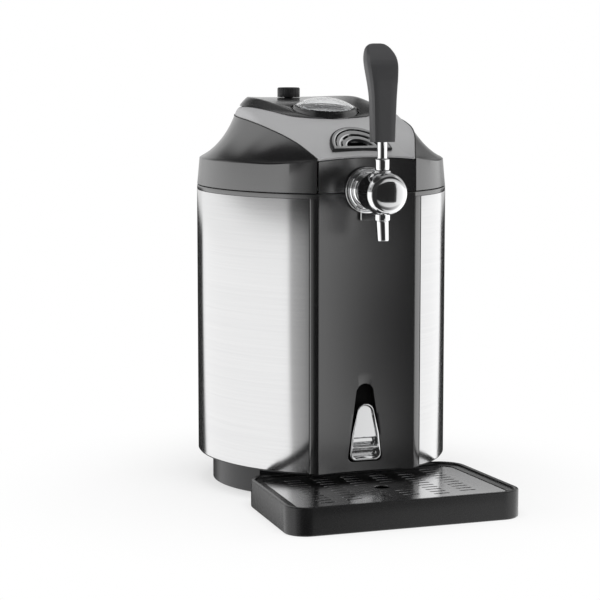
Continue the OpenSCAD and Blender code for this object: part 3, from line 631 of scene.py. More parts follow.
def oval(t, d=0.0):
    """Outline at angle t (degrees, 0 in front), moved in by d: ellipse in front, circle
    behind, cut flat at the rear."""
    t = np.radians(t)
    c = np.cos(t)
    rear = np.minimum(-(HALF_WIDTH - d) * c, REAR_FLAT - d)
    return (HALF_WIDTH - d) * np.sin(t), np.where(c > 0, -(FRONT_REACH - d) * c, rear)


def swept(name, t, profile, *args, mirror=False, **kw):
    """A profile of (inward offset, height) carried along the oval over the angles t."""
    p = np.asarray(profile, float)
    x, y = oval(t[:, None], p[None, :, 0])
    pts = np.stack([x, y, 0 * x + p[None, :, 1]], -1)
    loops_piece(name, flipped(pts) if mirror else pts, *args, **kw)


def strip(d0, d1, z0, z1):
    """The oblong profile between two insets and two heights."""
    return [(d0, z0), (d1, z0), (d1, z1), (d0, z1)]


print("front of the oval:", [float(v) for v in oval(0.0)])

# %% Rim, walls and steel panels
REAR_CORNER = 161.3                        # angle at which the flat rear begins
WALL_LOW, RIM_LOW, RIM_TOP = 35.7, 316.9, 321.6
STEEL_LOW, STEEL_TOP = 34.8, 316.8
rim_half = np.r_[np.linspace(23.75, REAR_CORNER, 140), np.linspace(REAR_CORNER + 0.5, 180, 12)]
rim_run = np.r_[rim_half, 360 - rim_half[-2::-1]]
swept("body_rim", rim_run, softened(strip(0.3, 4, RIM_LOW, RIM_TOP), 0.5),
      "gloss black", "body", ["body_frame"], "gloss_black")
for side, mirror in (("right", False), ("left", True)):
    swept(f"body_wall_{side}", np.linspace(27.9, 152.9, 90), strip(1.35, 4, WALL_LOW, RIM_LOW),
          "satin black", "body", ["body_frame"], "satin_black", mirror=mirror)
    swept(f"steel_panel_{side}_skin", np.linspace(27.82, 152.4, 150),
          softened(strip(0.15, 1.15, STEEL_LOW, STEEL_TOP), 0.3, 3),
          "brushed steel panel", "body", [f"steel_panel_{side}"], "brushed_steel",
          mirror=mirror)

# %% The pillars
def pillar(side):
    """A soft-cornered strip between x = 53 and 61 that follows the oval, as loops up the
    height: x and the inset `deep` are its plan, z and `draw` its height and eased ends."""
    x = np.array([53.0, 53.0, 53.35, 54.2, 57, 59.8, 60.65, 61.0, 61.0])
    deep = np.array([3.9, 0.9, 0.3, 0.02, 0.0, 0.02, 0.3, 0.9, 3.9])
    t = np.degrees(np.arcsin(x / (HALF_WIDTH - deep)))
    px, py = oval(t, deep)
    z = np.array([33.5, 33.9, 34.3, 316.4, 316.85, 317.0])
    draw = np.array([0.5, 0.12, 0, 0, 0.12, 0.5])
    pts = np.stack([px + 0 * draw[:, None], py + draw[:, None], 0 * px + z[:, None]], -1)
    if side == "left":
        pts = flipped(pts)
    loops_piece(f"pillar_{side}", pts, "gloss black", "body", ["body_frame"],
                "satin_black")


pillar("right")
pillar("left")

# %% [markdown]
# ## The hollow front panel and its teardrop recess
# Between the pillars the body is hollowed to a shallow cylinder of 301 mm radius. A teardrop
# recess holds the bottle opener. A boolean would leave slivers on such a gentle curve, so the
# panel is one sheet of rings: the outer ring is the panel's edge, the rings shrink to the
# teardrop, roll over its lip, run down the wall and close in the recess floor. A thin, darker
# matt sheet lies in the recess: painted shade that makes the deep hole read black.

# %% Outlines on the hollow front
HOLLOW_Y, HOLLOW_RADIUS = -136.5, 301.0
PANEL_EDGE = 52.7                          # half width of what lies between the pillars
RECESS_MIDDLE = np.array([0, 80.0])        # x and z
TEARDROP = [(0, 114.8, 9.6), (12.7, 49, 6), (-12.7, 49, 6)]


def hollow_y(x):
    """Depth of the hollow front at x: an upright cylinder."""
    return HOLLOW_Y - HOLLOW_RADIUS + np.sqrt(HOLLOW_RADIUS ** 2 - x ** 2)


def polar_radius(curve, centre, angles):
    """Distance from the centre to a closed curve in the given directions."""
    v = curve - np.asarray(centre)
    a, r = np.arctan2(v[:, 1], v[:, 0]), np.hypot(v[:, 0], v[:, 1])
    return np.interp(angles, np.sort(a), r[np.argsort(a)], period=2 * np.pi)


def recess_radius(angles):
    """The teardrop's radius from the middle of the recess."""
    return polar_radius(hull_curve(TEARDROP, 720), RECESS_MIDDLE, angles)


print("hollow at the panel's edge:", float(hollow_y(PANEL_EDGE)))

# %% Front panel
PANEL_LOW, PANEL_TOP = 33.4, 321.5
RECESS_FLOOR = -127.5                      # depth of the recess floor in Y


def front_sheet():
    """Rings round the recess: edge, face, lip, wall and floor."""
    lo = np.array([-PANEL_EDGE, PANEL_LOW]) - RECESS_MIDDLE
    hi = np.array([PANEL_EDGE, PANEL_TOP]) - RECESS_MIDDLE
    corners = [np.arctan2(y, x) for x in (lo[0], hi[0]) for y in (lo[1], hi[1])]
    a = np.unique(np.r_[np.linspace(-np.pi, np.pi, 300, endpoint=False), corners])
    ca, sa = np.cos(a), np.sin(a)
    across = np.where(ca > 0, hi[0], -lo[0]) / np.maximum(abs(ca), 1e-9)
    upward = np.where(sa > 0, hi[1], -lo[1]) / np.maximum(abs(sa), 1e-9)
    outer = np.minimum(across, upward)
    inner = recess_radius(a)
    rings = [(mixed(inner + 0.5, outer, f), 0.0) for f in 1 - np.linspace(0, 1, 26) ** 1.5]
    rings += [(inner + step, drop) for step, drop in
              ((0.18, 0.12), (0.03, 0.4), (0.0, 1.0), (0.0, 4.0), (-0.3, 8.0))]
    loops = [np.stack([r * ca, hollow_y(r * ca) + drop, RECESS_MIDDLE[1] + r * sa], -1)
             for r, drop in rings]
    for f in (0.985, 0.95, 0.6, 0.3, 0.0):
        y = np.where(f > 0.98, RECESS_FLOOR - 0.5, RECESS_FLOOR) + 0 * ca
        loops.append(np.stack([inner * f * ca, y, RECESS_MIDDLE[1] + inner * f * sa], -1))
    return np.stack(loops)


sheet = front_sheet()
piece("front_panel_skin", sheet, grid_faces(*sheet.shape[:2]), "panel black", "body",
      ["front_panel"], "satin_black", angle=24, wall=1.8)

# %% The painted shade in the recess
SHADE_SHEET_FLOOR = RECESS_FLOOR - 0.75


def pocket():
    """Rings of a cup just inside the recess: each is the teardrop times a share, less an
    inset, at a drop below the hollow front, and never deeper than the floor."""
    a = np.linspace(-np.pi, np.pi, 240, endpoint=False)
    inner = recess_radius(a)
    loops = []
    for share, inset, drop in ((1, 0.12, 0.7), (1, 0.12, 4.0), (1, 0.4, 8.3), (1, 1.0, 99),
                               (0.5, 0, 99), (0, 0, 99)):
        r = inner * share - inset
        x = r * np.cos(a)
        y = np.minimum(hollow_y(x) + drop, SHADE_SHEET_FLOOR)
        loops.append(np.stack([x, y, RECESS_MIDDLE[1] + r * np.sin(a)], -1))
    return np.stack(loops)


cup = pocket()
# a cup of painted shade just inside the recess: it darkens the hole instead of any real liner
piece("opener_recess_shade", cup, grid_faces(*cup.shape[:2]), "recess shade black", "body",
      ["front_panel"], "satin_black", angle=50, wall=0.1)

# %% [markdown]
# ## The bottle opener
# A cast teardrop with a raised rim, a shallow channel above, and a deep mouth below whose
# lip catches the cap. It is a relief: one height for each point of a polar grid, with smooth
# steps between rim, channel and mouth.

# %% The opener's relief
OPENER_DISCS = [(0, 95, 9), (7.2, 71, 7.6), (-7.2, 71, 7.6), (10.8, 50.5, 6), (-10.8, 50.5, 6)]
OPENER_MIDDLE = np.array([0, 66.0])
OPENER_BACK, OPENER_RIM, CHANNEL, MOUTH = -127.7, -139.0, -135.4, -130.0   # depths in Y
BAR_Z, BAR_HALF, BAR_FACE = 58.4, 2.6, -138.0


def smooth(x, a, b):
    """0 below a, 1 above b, and a smooth rise between."""
    f = np.clip((x - a) / (b - a), 0, 1)
    return f * f * (3 - 2 * f)


def opener_depth(edge, r, z):
    """The rim, which falls to the channel above and the mouth below; a rounded bar crosses
    the mouth."""
    floor = mixed(MOUTH, CHANNEL, smooth(z, 66.0, 68.2))
    bar = np.exp(-((z - BAR_Z) / BAR_HALF) ** 4)
    floor = mixed(floor, BAR_FACE + 0.25 * (z - BAR_Z), bar)
    return mixed(OPENER_RIM, floor, smooth(edge - r, 1.7, 2.9))


print("the opener's mouth is", MOUTH - OPENER_RIM, "mm deep")

# %% Bottle opener
def opener():
    """Rings from the middle of the back, up the wall and over the rim to the middle."""
    a = np.linspace(-np.pi, np.pi, 240, endpoint=False)
    edge = polar_radius(hull_curve(OPENER_DISCS, 960), OPENER_MIDDLE, a)
    rings = [(0 * edge, OPENER_BACK), (edge, OPENER_BACK), (edge, -137.6),
             (edge - 0.12, -138.4), (edge - 0.5, -138.9), (edge - 1.0, OPENER_RIM)]
    rings += [((edge - 1.4) * f, None) for f in np.linspace(1, 0, 70)]
    out = []
    for r, y in rings:
        x, z = r * np.cos(a), OPENER_MIDDLE[1] + r * np.sin(a)
        y = opener_depth(edge, r, z) if y is None else y
        out.append(np.stack([x, y + 0 * x, z], -1))
    return np.stack(out)


relief = opener()
piece("bottle_opener_cast", relief, grid_faces(*relief.shape[:2]), "chrome", "body",
      ["bottle_opener"], "chrome", angle=60)

# %% [markdown]
# ## The tap
# The tap is all turned work: flange, shank, barrel, cap, bonnet, collar and spout. Each is a
# profile spun about its axis, which keeps every mirror-bright edge truly round. Corners get
# a small arc, because a real turned edge always catches a thin line of light.

# %% Tap, turned on the barrel's axis
TAP_Z, CAP_RADIUS = 324.5, 21.0


def on_barrel(name, y, profile, nodes, soft=0.35):
    """A profile of (radius, distance in front of y) spun about the barrel's axis."""
    lathe(name, profile, "chrome", "body", nodes, "chrome", centre=(0, y, TAP_Z), lean=90,
          soft=soft, turns=144)


on_barrel("tap_flange_turned", -138, [
    (12.1, 0), (24, 0), (24.2, 1.5), (23.6, 3.4), (22, 4.2), (21.2, 3.8), (20.6, 4.2),
    (20.4, 5.8), (19.2, 7.2), (17.8, 7.2), (17.4, 8.6), (16.2, 10.4), (14.6, 11), (12.1, 11)],
    ["tap_flange"], 0.45)
on_barrel("tap_shank_turned", -112, [
    (0, 0), (3.2, 0), (4, 2), (3.4, 2.4), (4, 5), (3.4, 5.4), (4, 7), (8, 7), (8, 26),
    (12, 26), (12, 48), (0, 48)], ["tap_shank"])
on_barrel("tap_barrel", -160.05, [
    (0, 0), (11, 0), (16, 1), (19.4, 3.4), (20.8, 7), (21, 11), (21, 33.4), (20.75, 34),
    (0, 34)], ["tap_body"], 0.5)
# the cap's face: a shallow dome that turns down steeply near its edge
cap = np.array([21, 20.9, 20.6, 20.2, 19.6, 18.8, 17.8, 16.4, 14.6, 12, 9, 6, 3, 0])
cap_face = 6.6 - 0.9 * (cap / CAP_RADIUS) ** 2 - 5.3 * (cap / CAP_RADIUS) ** 13
on_barrel("tap_cap_turned", -194.3, [(0, 0), (20.75, 0), *zip(cap, cap_face)], ["tap_cap"], 0.0)

# %% The flange's tab
TAB_MIDDLE, TAB_POINTS = 299.0, 96
tab = hull_curve([(sx * 5.6, z, 1.6) for z in (295.2, 303) for sx in (-1, 1)], TAB_POINTS)
tab = np.stack([np.c_[tab[:, 0] * k, np.full(TAB_POINTS, y), mixed(TAB_MIDDLE, tab[:, 1], k)]
                for y, k in ((-136.6, 1), (-141.0, 1), (-141.4, 0.95))])
loops_piece("flange_tab_seated", tab, "chrome", "body", ["flange_tab"], "chrome")

# %% Tap, turned on upright axes
LEVER_Y, SPOUT_Y = -180.0, -180.6


def upright(name, profile, nodes, y=LEVER_Y, body="body", soft=0.3, lean=0.0, z=0.0):
    """A profile of (radius, height above z) spun about an upright or leaning axis."""
    lathe(name, profile, "chrome", body, nodes, "chrome", centre=(0, y, z), soft=soft,
          lean=lean, turns=112)


upright("tap_bonnet", [(0, 338), (14.1, 338), (14.1, 340), (10.9, 344.2), (9.1, 345),
                       (8.6, 345.6), (8.6, 346.6), (8.1, 347), (7.6, 347), (7.5, 343),
                       (0, 342)], ["tap_body"])
upright("tap_socket", [(0, 303.5), (8.2, 303.5), (14, 310), (0, 312)], ["tap_body"])
upright("spout_collar_turned", [
    (4.1, 303.4), (8, 303.4), (8, 297.5), (7.5, 297), (6.6, 297), (6.6, 300), (4.1, 300)],
    ["spout_collar"], y=SPOUT_Y)
upright("spout_turned", [
    (4.4, -0.8), (6.3, -0.8), (6.4, -4), (6.1, -13), (5.8, -22), (5.3, -22.6), (4.8, -22.6),
    (4.4, -21.6)], ["spout"], y=SPOUT_Y, z=298.8, lean=-7)
BALL_RADIUS, BALL_Z = 7.3, 350
ball = [(BALL_RADIUS * sin(a), BALL_Z - BALL_RADIUS * cos(a)) for a in np.linspace(0, pi / 2, 16)]
upright("lever_stem_turned", ball + [
    (7.3, 358.1), (6.7, 358.7), (5.2, 358.9), (5, 359.4), (5, 375.6), (4.7, 376.2), (3, 376.4),
    (3, 392), (0, 392)], ["lever_stem"], body="lever", soft=0.2)

# %% [markdown]
# ## The handle
# A tall soft-touch paddle: narrow above the stem, wide near the top, with a flat front whose
# corners are cut and a top that sweeps back. Its cross-section is a rounded oblong; the table
# gives its half-width, half-depth and set-back at some heights, and a curve through the table
# fills in the rest.

# %% Handle
HANDLE = np.array([  # height, half-width, half-depth, middle in Y
    [376.2, 10.9, 6.4, -0.6], [377.4, 12, 7.4, -0.6], [395, 12.5, 7.7, -0.8],
    [418, 13.3, 8, -0.9], [430, 14.3, 8.6, 0], [438, 15.2, 9.2, 1.1], [449, 16.3, 9.8, 3.6],
    [455, 16.4, 9.6, 5.6], [459, 16, 9, 7.4], [463, 15, 7.8, 9.8], [467, 13.2, 6, 12.8],
    [470, 10.9, 4.4, 14.6], [472.2, 7.6, 2.6, 15.8], [472.9, 4, 1.2, 16.3]])


def handle():
    """Loops of a cut-cornered oblong: front flat at 0.84 of the half-width, then a bevel to
    the side, and a rounder back."""
    s = through(HANDLE, np.linspace(0, len(HANDLE) - 1, 92))
    front = np.array([(-1, 0.35), (-1, -0.45), (-0.985, -0.62), (-0.87, -0.96), (-0.80, -1),
                      (-0.4, -1), (0, -1), (0.4, -1), (0.80, -1), (0.87, -0.96),
                      (0.985, -0.62), (1, -0.45), (1, 0.35)])
    a = np.linspace(0, np.pi, 22)[1:-1]
    back = np.stack([np.sign(np.cos(a)) * abs(np.cos(a)) ** 0.62,
                     0.35 + 0.65 * np.sin(a) ** 0.7], -1)
    shape = np.vstack([front, back])
    x = s[:, 1:2] * shape[:, 0]
    y = LEVER_Y + s[:, 3:4] + s[:, 2:3] * shape[:, 1]
    return np.stack([x, y, s[:, 0:1] + 0 * x], -1)


loops_piece("tap_handle_soft", handle(), "handle black", "lever", ["tap_handle"],
            "handle_black", angle=24)

# %% [markdown]
# ## The lid's gloss shoulders
# From the rim the lid rises as a near-upright band, then leans in as two broad shoulders
# that meet the silver saddle along a curved seam. Each slice of the shell is a loop: up the
# outside, over the shoulder to the seam and back inside. The seam is a smooth curve through
# twelve measured points, walked in step with the oval's angle.

# %% Lid shell
SEAM = np.array([
    [53.6, -138.8, 357], [63, -115.5, 369.3], [71.5, -93.5, 377.6], [78.5, -69, 383.6],
    [83, -42, 388], [85.8, -15, 391.2], [86.2, 12, 393], [82.5, 39, 394], [74.5, 64, 394.3],
    [60, 90, 394.3], [34, 109.5, 394.2], [0, 117.5, 394]])
LID_LOW = 322.4
FRONT_CORNER = 24.4                        # angle of the oval at the lid's front corners
BAND_LEVEL, BAND_CLIMB = 351.2, 5.4
CLIMB_FROM, CLIMB_RUN = 95, 42             # the climb starts at this x and takes this far


def band_top(x):
    """Height of the band's upper edge: level, then climbing toward the front corners."""
    return BAND_LEVEL + BAND_CLIMB * np.maximum(0, (CLIMB_FROM - abs(x)) / CLIMB_RUN) ** 1.3


def lid_slices(count=150, n=26, thick=2.4):
    """Slices at the share f of the way from front corner to rear. Each runs from the lower
    edge up the band, which leans in by `draft`, over its edge and in along the shoulder to
    the seam, where the height rises as 0.45 u + 0.55 u^2, and back `thick` further in."""
    f = np.linspace(0, 1, count)
    t = mixed(FRONT_CORNER, 180, f)
    draft = 0.8 + 2.2 * np.clip((t - 24) / 40, 0, 1)
    s = through(SEAM, 11 * f)
    p = np.stack([*oval(t, draft), 0 * t], -1)
    q = np.stack([*oval(t, draft + thick), 0 * t], -1)
    low = np.stack([*oval(t, 0.5), 0 * t + LID_LOW], -1)
    low_in = np.stack([*oval(t, 0.5 + thick), 0 * t + LID_LOW], -1)
    top = band_top(p[:, 0])
    up = low + np.array([0, 0, 0.35])
    p[:, 2], q[:, 2] = top, top - 1.6
    edge = p + np.array([0, 0, -0.9])
    cols = [mixed(low, low_in, 0.12), up, mixed(up, edge, 0.5), edge]
    for u in np.linspace(0, 1, n + 1):
        w = 0.012 + 0.988 * u
        z = mixed(top, s[:, 2], 0.45 * u + 0.55 * u * u) - 0.45 * np.exp(-u * 60)
        cols.append(np.stack([mixed(p[:, 0], s[:, 0], w), mixed(p[:, 1], s[:, 1], w), z], -1))
    s_in = s - np.array([0, 0, 2.8])
    for u in np.linspace(1, 0, 8):
        k = 0.45 * u + 0.55 * u * u
        cols.append(np.stack([mixed(q[:, 0], s_in[:, 0], u), mixed(q[:, 1], s_in[:, 1], u),
                              mixed(q[:, 2], s_in[:, 2], k)], -1))
    cols.append(low_in)
    return np.stack(cols, 1)


half = lid_slices()
loops_piece("lid_shoulders", np.concatenate([half, flipped(half[-2::-1])]), "gloss black",
            "lid", ["lid_shell"], "gloss_black", angle=18)

# %% The lid's hollow front
NOTCH_RADIUS, ARCH_TOP, ARCH_RADIUS = 10.0, 357.0, 485.8


def lid_face():
    """Columns over x from the lower edge, with its half-round notch for the tap, to the arch;
    the depth is the same hollow cylinder as the body's."""
    x = np.unique(np.r_[np.linspace(-PANEL_EDGE, PANEL_EDGE, 90),
                        np.linspace(-NOTCH_RADIUS, NOTCH_RADIUS, 41)])
    notch = TAP_Z + np.sqrt(np.maximum(0, NOTCH_RADIUS ** 2 - x ** 2))
    low = np.where(abs(x) < NOTCH_RADIUS - 0.2, notch, LID_LOW)
    high = ARCH_TOP - ARCH_RADIUS + np.sqrt(ARCH_RADIUS ** 2 - x ** 2)
    f = np.linspace(0, 1, 24)[:, None]
    z = mixed(low, high, f)
    return np.stack([x + 0 * z, hollow_y(x) + 0 * z, z], -1)


face = lid_face()
piece("lid_front_skin", face[:, ::-1], grid_faces(*face.shape[:2], False, False),
      "gloss black", "lid", ["lid_front"], "gloss_black", wall=2.8, bevel=0.3)

# %% [markdown]
# ## The silver saddle
# The saddle fills the lid between the seams: it starts at the hollow front, climbs past the
# latch and runs under the dome and the black island. It is a sheet between two edges, the
# dome's ring and the seam, whose height follows a crest line and falls to the seam with a
# fullness that changes along it. Faces inside the latch's half-moon are left out, and the
# chrome frame covers that edge. Solidify gives the sheet its wall.

# %% Curves of the saddle
CREST = np.array([[-136.5, 359.4], [-127, 366], [-110, 375.5], [-92, 385], [-70, 390.5],
                  [-50, 393.5], [-30, 399], [-15, 402], [10, 404], [60, 404], [120, 402]])
FULL = np.array([3, 3, 3, 3.2, 5, 9, 16, 22, 24, 24, 24, 24.0])
DOME = np.array([0, -17.6, 404])            # middle of the dome's ring
DOME_SEAT = 37.0                            # radius at which saddle and island meet the ring
LATCH = np.array([0, -126.45, 366.38])      # middle of the half-moon's straight edge
LATCH_TILT = 28.5
OPENING_HALF, OPENING_HEIGHT, OPENING_LOW = 28.6, 37.7, 0.6     # of the half-moon in the sheet


def eased(y, table=CREST, r=6.0):
    """Height table with its corners rounded: the mean of three looks into it."""
    return sum(np.interp(y + d, table[:, 0], table[:, 1]) for d in (-r, 0, r)) / 3


def dome_seat(angle):
    """The circle in plan on which saddle and island meet the dome's ring, 0 in front."""
    return np.stack([DOME_SEAT * np.sin(angle), DOME[1] - DOME_SEAT * np.cos(angle)], -1)


print("crest at the latch:", float(eased(LATCH[1])))

# %% Saddle
FRONT_SHARE, FRONT_TURN = 0.2, 30          # share and degrees of the edge on the hollow front
FRONT_HALF = 52.6


def saddle_edge(f):
    """Outer edge at the share f: the first fifth along the hollow front, where the height
    falls by 2.5 to the corner, then the seam. The fullness and the inner circle go along."""
    g = np.clip((f - FRONT_SHARE) / (1 - FRONT_SHARE), 0, 1)
    on_front = f < FRONT_SHARE
    h = f / FRONT_SHARE
    x = FRONT_HALF * np.clip(h, 0, 1)
    front = np.stack([x, HOLLOW_Y + 0.25 - x ** 2 / (2 * HOLLOW_RADIUS),
                      CREST[0, 1] - 2.5 * (x / FRONT_HALF) ** 2], -1)
    s = through(SEAM, 11 * g)
    m = 1 - 0.35 / np.hypot(s[:, 0], s[:, 1] - DOME[1])
    side = np.stack([s[:, 0] * m, s[:, 1] * m, s[:, 2] + 0.1], -1)
    fullness = np.where(on_front, mixed(8, 3, h), through(FULL, 11 * g))
    turn = np.where(on_front, FRONT_TURN * h, mixed(FRONT_TURN, 180, g))
    return np.where(on_front[:, None], front, side), fullness, dome_seat(np.radians(turn))


def saddle(count=230, rings=70):
    """Slices from the dome's seat out to the edge e: the height is the eased crest less the
    share w ** fullness of its rise over the edge."""
    e, full, i = saddle_edge(np.linspace(0, 1, count))
    w = (1 - (1 - np.linspace(0, 1, rings)) ** 1.5)[None, :]
    x = mixed(i[:, 0:1], e[:, 0:1], w)
    y = mixed(i[:, 1:2], e[:, 1:2], w)
    top = np.maximum(e[:, 2:3], eased(y))
    z = mixed(e[:, 2:3], top, 1 - w ** full[:, None])
    return np.stack([x, y, z], -1)


def to_latch(points):
    """Points in the latch's own slope: across, up the slope, out of it."""
    return leaned(points - LATCH, -LATCH_TILT)


half = saddle()
whole = np.concatenate([half, flipped(half[-2:0:-1])])
faces = grid_faces(*whole.shape[:2], True, False)
middle = to_latch(whole.reshape(-1, 3)[faces].mean(1))
in_ellipse = (middle[:, 0] / OPENING_HALF) ** 2 + (middle[:, 1] / OPENING_HEIGHT) ** 2 < 1
in_moon = in_ellipse & (middle[:, 1] > OPENING_LOW)
piece("lid_saddle_skin", whole, faces[~in_moon], "matte silver paint", "lid",
      ["lid_saddle"], "silver_plastic", wall=1.8, bevel=0.35)

# %% [markdown]
# ## The black island
# Behind the dome a polished plateau swells out of the saddle and carries the regulator knob.
# Its foot and its ridge are two plan curves, each a smooth line through a few points; between
# them the side rises and rolls over the ridge, and from the ridge the top sinks gently to the
# dome's ring.

# %% Foot and ridge of the island
FOOT = np.array([[0, -54.6], [19, -51.5], [34.5, -47], [50.5, -37], [63.5, -18], [71.5, 4],
                 [75, 29], [72.5, 54], [57, 84], [34, 105], [0, 113.4]])
RIDGE = np.array([[0, -53.9], [17, -50.2], [30, -42.5], [37, -28], [41.5, -8], [48, 14],
                  [55.5, 37], [57.5, 64], [49, 88], [30, 103], [0, 110.6]])
RIDGE_Z = np.array([393.6, 395, 397, 400.4, 404.5, 408.7, 412.3, 413.2, 412.6, 411.6, 410.9])
RING_FRONT_Z, RING_REAR_Z = 391.5, 409.4    # height of the top where it meets the ring
print("ridge rises to", RIDGE_Z.max())

# %% Island
def island(count=180):
    """Slices from the dome's ring under the plateau to its foot, up the side, over the ridge
    with a small round, and back over the top to the ring."""
    f = np.linspace(0, 1, count)
    a, u = np.pi * f, (len(FOOT) - 1) * f
    i = dome_seat(a)
    foot, ridge, ridge_z = through(FOOT, u), through(RIDGE, u), through(RIDGE_Z, u)
    ring_z = np.maximum(mixed(RING_FRONT_Z, RING_REAR_Z, (1 - np.cos(a)) / 2),
                        eased(i[:, 1]) + 1.2)
    foot_z = eased(foot[:, 1]) + 0.45
    cols = []
    for w in (0.0, 0.5, 1.0):              # under the plateau, just above the saddle
        p = mixed(i, foot, w)
        cols.append((p, eased(p[:, 1]) + 0.3 + 0.1 * w))
    rise = np.maximum(ridge_z - foot_z, 0.3)
    for w in np.linspace(0, 1, 18):        # up the side, which eases off toward the ridge
        up = 0.06 + 0.94 * (1 - (1 - np.clip(w / 0.86, 0, 1)) ** 1.35)
        cols.append((mixed(foot, ridge, w), foot_z + rise * up * np.clip(w * 14, 0, 1)))
    for w in np.linspace(0.02, 1, 26):     # back over the top, never under the saddle
        p = mixed(ridge, i, w)
        cols.append((p, np.maximum(mixed(ridge_z, ring_z, w), eased(p[:, 1]) + 0.9)))
    return np.stack([np.stack([p[:, 0], p[:, 1], z], -1) for p, z in cols], 1)


half = island()
loops_piece("lid_island_skin", np.concatenate([half, flipped(half[-2:0:-1])]), "gloss black",
            "lid", ["lid_island"], "gloss_black", ring=True, angle=30)

# %% [markdown]
# ## The display dome
# A clear lens sits in a black ring with a flared skirt, tilted a little to the front. Under
# it lies the display. All three are turned about the same leaning axis.

# %% Dome
DOME_LEAN = 7.6
LENS_TOP, LENS_RADIUS, LENS_WALL = 10.3, 63.1, 2.0


def on_dome(name, profile, look, node, slot, soft):
    """A profile of (radius, height) spun about the dome's leaning axis."""
    lathe(name, profile, look, "lid", [node], slot, centre=tuple(DOME), lean=DOME_LEAN,
          soft=soft, turns=160)


def bowl(radius, degrees):
    """Points of a sphere under the lens's top point, by their angle from the axis."""
    return [(radius * sin(a), LENS_TOP - LENS_RADIUS + radius * cos(a))
            for a in np.radians(degrees)]


on_dome("dome_ring", [(30.9, -9.5), (37.2, -9.5), (37.3, -8.2), (35.6, -4), (34.3, -1.2),
                      (33.7, 0.9), (33.2, 1.5), (32.6, 1.5), (32.4, -1.4), (30.9, -1.4)],
        "gloss black", "dome_bezel", "gloss_black", 0.4)
on_dome("dome_lens_clear", [(30.9, -1.3), (32.3, -1.3)]
        + bowl(LENS_RADIUS, np.linspace(31, 0, 30))
        + bowl(LENS_RADIUS - LENS_WALL, np.linspace(0, 30, 30)),
        "clear lens", "dome_lens", "lens", 0.0)
on_dome("display_disc", [(0, -4.4), (30.7, -4.4), (30.7, -2.6), (0, -2.6)],
        "display glass", "display_face", "display", 0.2)

# %% [markdown]
# ## The regulator knob
# A short black knob with a ribbed edge and a dished top. Its radius depends on both height
# and angle: the turned profile, less a shallow scoop every fifteen degrees.

# %% Knob
KNOB_Y, KNOB_RIBS, SCOOP = 99.0, 24, 0.55


def knob():
    """Profile of (radius, height); near the rim a scoop follows the angle."""
    p = softened([(0, 398.6), (4.9, 398.6), (4.9, 411.6), (12.5, 411.6), (12.5, 421.2),
                  (11.5, 422.1), (9.6, 422.1), (9.3, 421.5), (0, 421.5)], 0.35, 4)
    a = np.linspace(0, 2 * np.pi, 240, endpoint=False)
    scoop = np.maximum(0, np.cos(KNOB_RIBS * a)) ** 3
    rim = smooth(p[:, 0], 11.3, 12.3) * smooth(p[:, 1], 412.2, 413.2)
    r = p[:, 0:1] - SCOOP * rim[:, None] * scoop
    return np.stack([r * np.cos(a), KNOB_Y + r * np.sin(a), p[:, 1:2] + 0 * r], -1)


pts = knob()
piece("regulator_knob_turned", pts, grid_faces(*pts.shape[:2], True), "satin black", "knob",
      ["regulator_knob"], "satin_black", angle=40)

# %% [markdown]
# ## The seam bead, a line of painted shade
# Where saddle and shoulders meet lies a thin black bead: painted shade for the dark gap between
# the two mouldings. A small circle is swept along the seam curve: at each point of the curve
# stand two directions at right angles to its run, and the circle lies in them.

# %% Seam bead
BEAD_RADIUS = 0.6


def bead(path, radius, n=10):
    """A closed tube: path point + radius (cos a * side + sin a * up), side and up square to
    the run of the path."""
    run = np.gradient(path, axis=0)
    run /= np.linalg.norm(run, axis=1)[:, None]
    side = np.cross(run, [0.0, 0.0, 1.0])
    side /= np.linalg.norm(side, axis=1)[:, None]
    up = np.cross(side, run)
    a = np.arange(n) / n * 2 * np.pi
    return path[:, None] + radius * (np.cos(a)[None, :, None] * side[:, None]
                                     + np.sin(a)[None, :, None] * up[:, None])


# the black bead is painted shade: it stands for the shadowed gap where saddle and shoulders meet
seam = through(SEAM, np.linspace(0, 10.98, 150)) + [0, 0, 0.15]
for side, path in (("right", seam), ("left", flipped(seam))):
    loops_piece(f"seam_shade_bead_{side}", bead(path, BEAD_RADIUS), "rubber", "lid", ["lid_shell"],
                "gloss_black")

# %% [markdown]
# ## The latch
# The half-moon latch is a chrome frame in a black seat let into the saddle, a finger cup
# behind it, and a pull whose two hooks reach down to the striker on the body. All but the
# hooks are rings: a small profile carried round a half-ellipse that stands on its straight
# edge. Their arches lie inside each other, so the chrome shows nested lines.

# %% The half-moon
EDGE_POINTS, MOON_POINTS = 30, 120


def moon(w, h, d):
    """A half-ellipse w wide each side and h high, grown by d, from its straight edge round;
    the corners are kept by always using the same number of points on edge and arch."""
    arch_low = np.arcsin(np.clip(-d / (h + d), -1, 1))
    x = (w + d) * np.cos(arch_low) * np.linspace(-1, 1, EDGE_POINTS + 1)[:-1]
    share = np.linspace(0, 1, MOON_POINTS - EDGE_POINTS + 1)[:-1]
    a = mixed(arch_low, np.pi - arch_low, share)
    arch = np.stack([(w + d) * np.cos(a), (h + d) * np.sin(a)], -1)
    return np.vstack([np.stack([x, 0 * x - d], -1), arch])


def on_latch(points):
    """Points from the latch's own slope (across, up, out) set in their place."""
    return leaned(points, LATCH_TILT) + LATCH


def moon_ring(name, w, h, profile, soft, look, body, node):
    """A closed profile of (growth, height out of the slope) carried round a half-moon."""
    loops = np.stack([np.c_[moon(w, h, d), np.full(MOON_POINTS, out)]
                      for d, out in softened(profile, soft)])
    loops_piece(name, on_latch(loops), look, body, [node], look.replace(" ", "_"), ring=True,
                angle=50)


print("half-moon of", MOON_POINTS, "points")

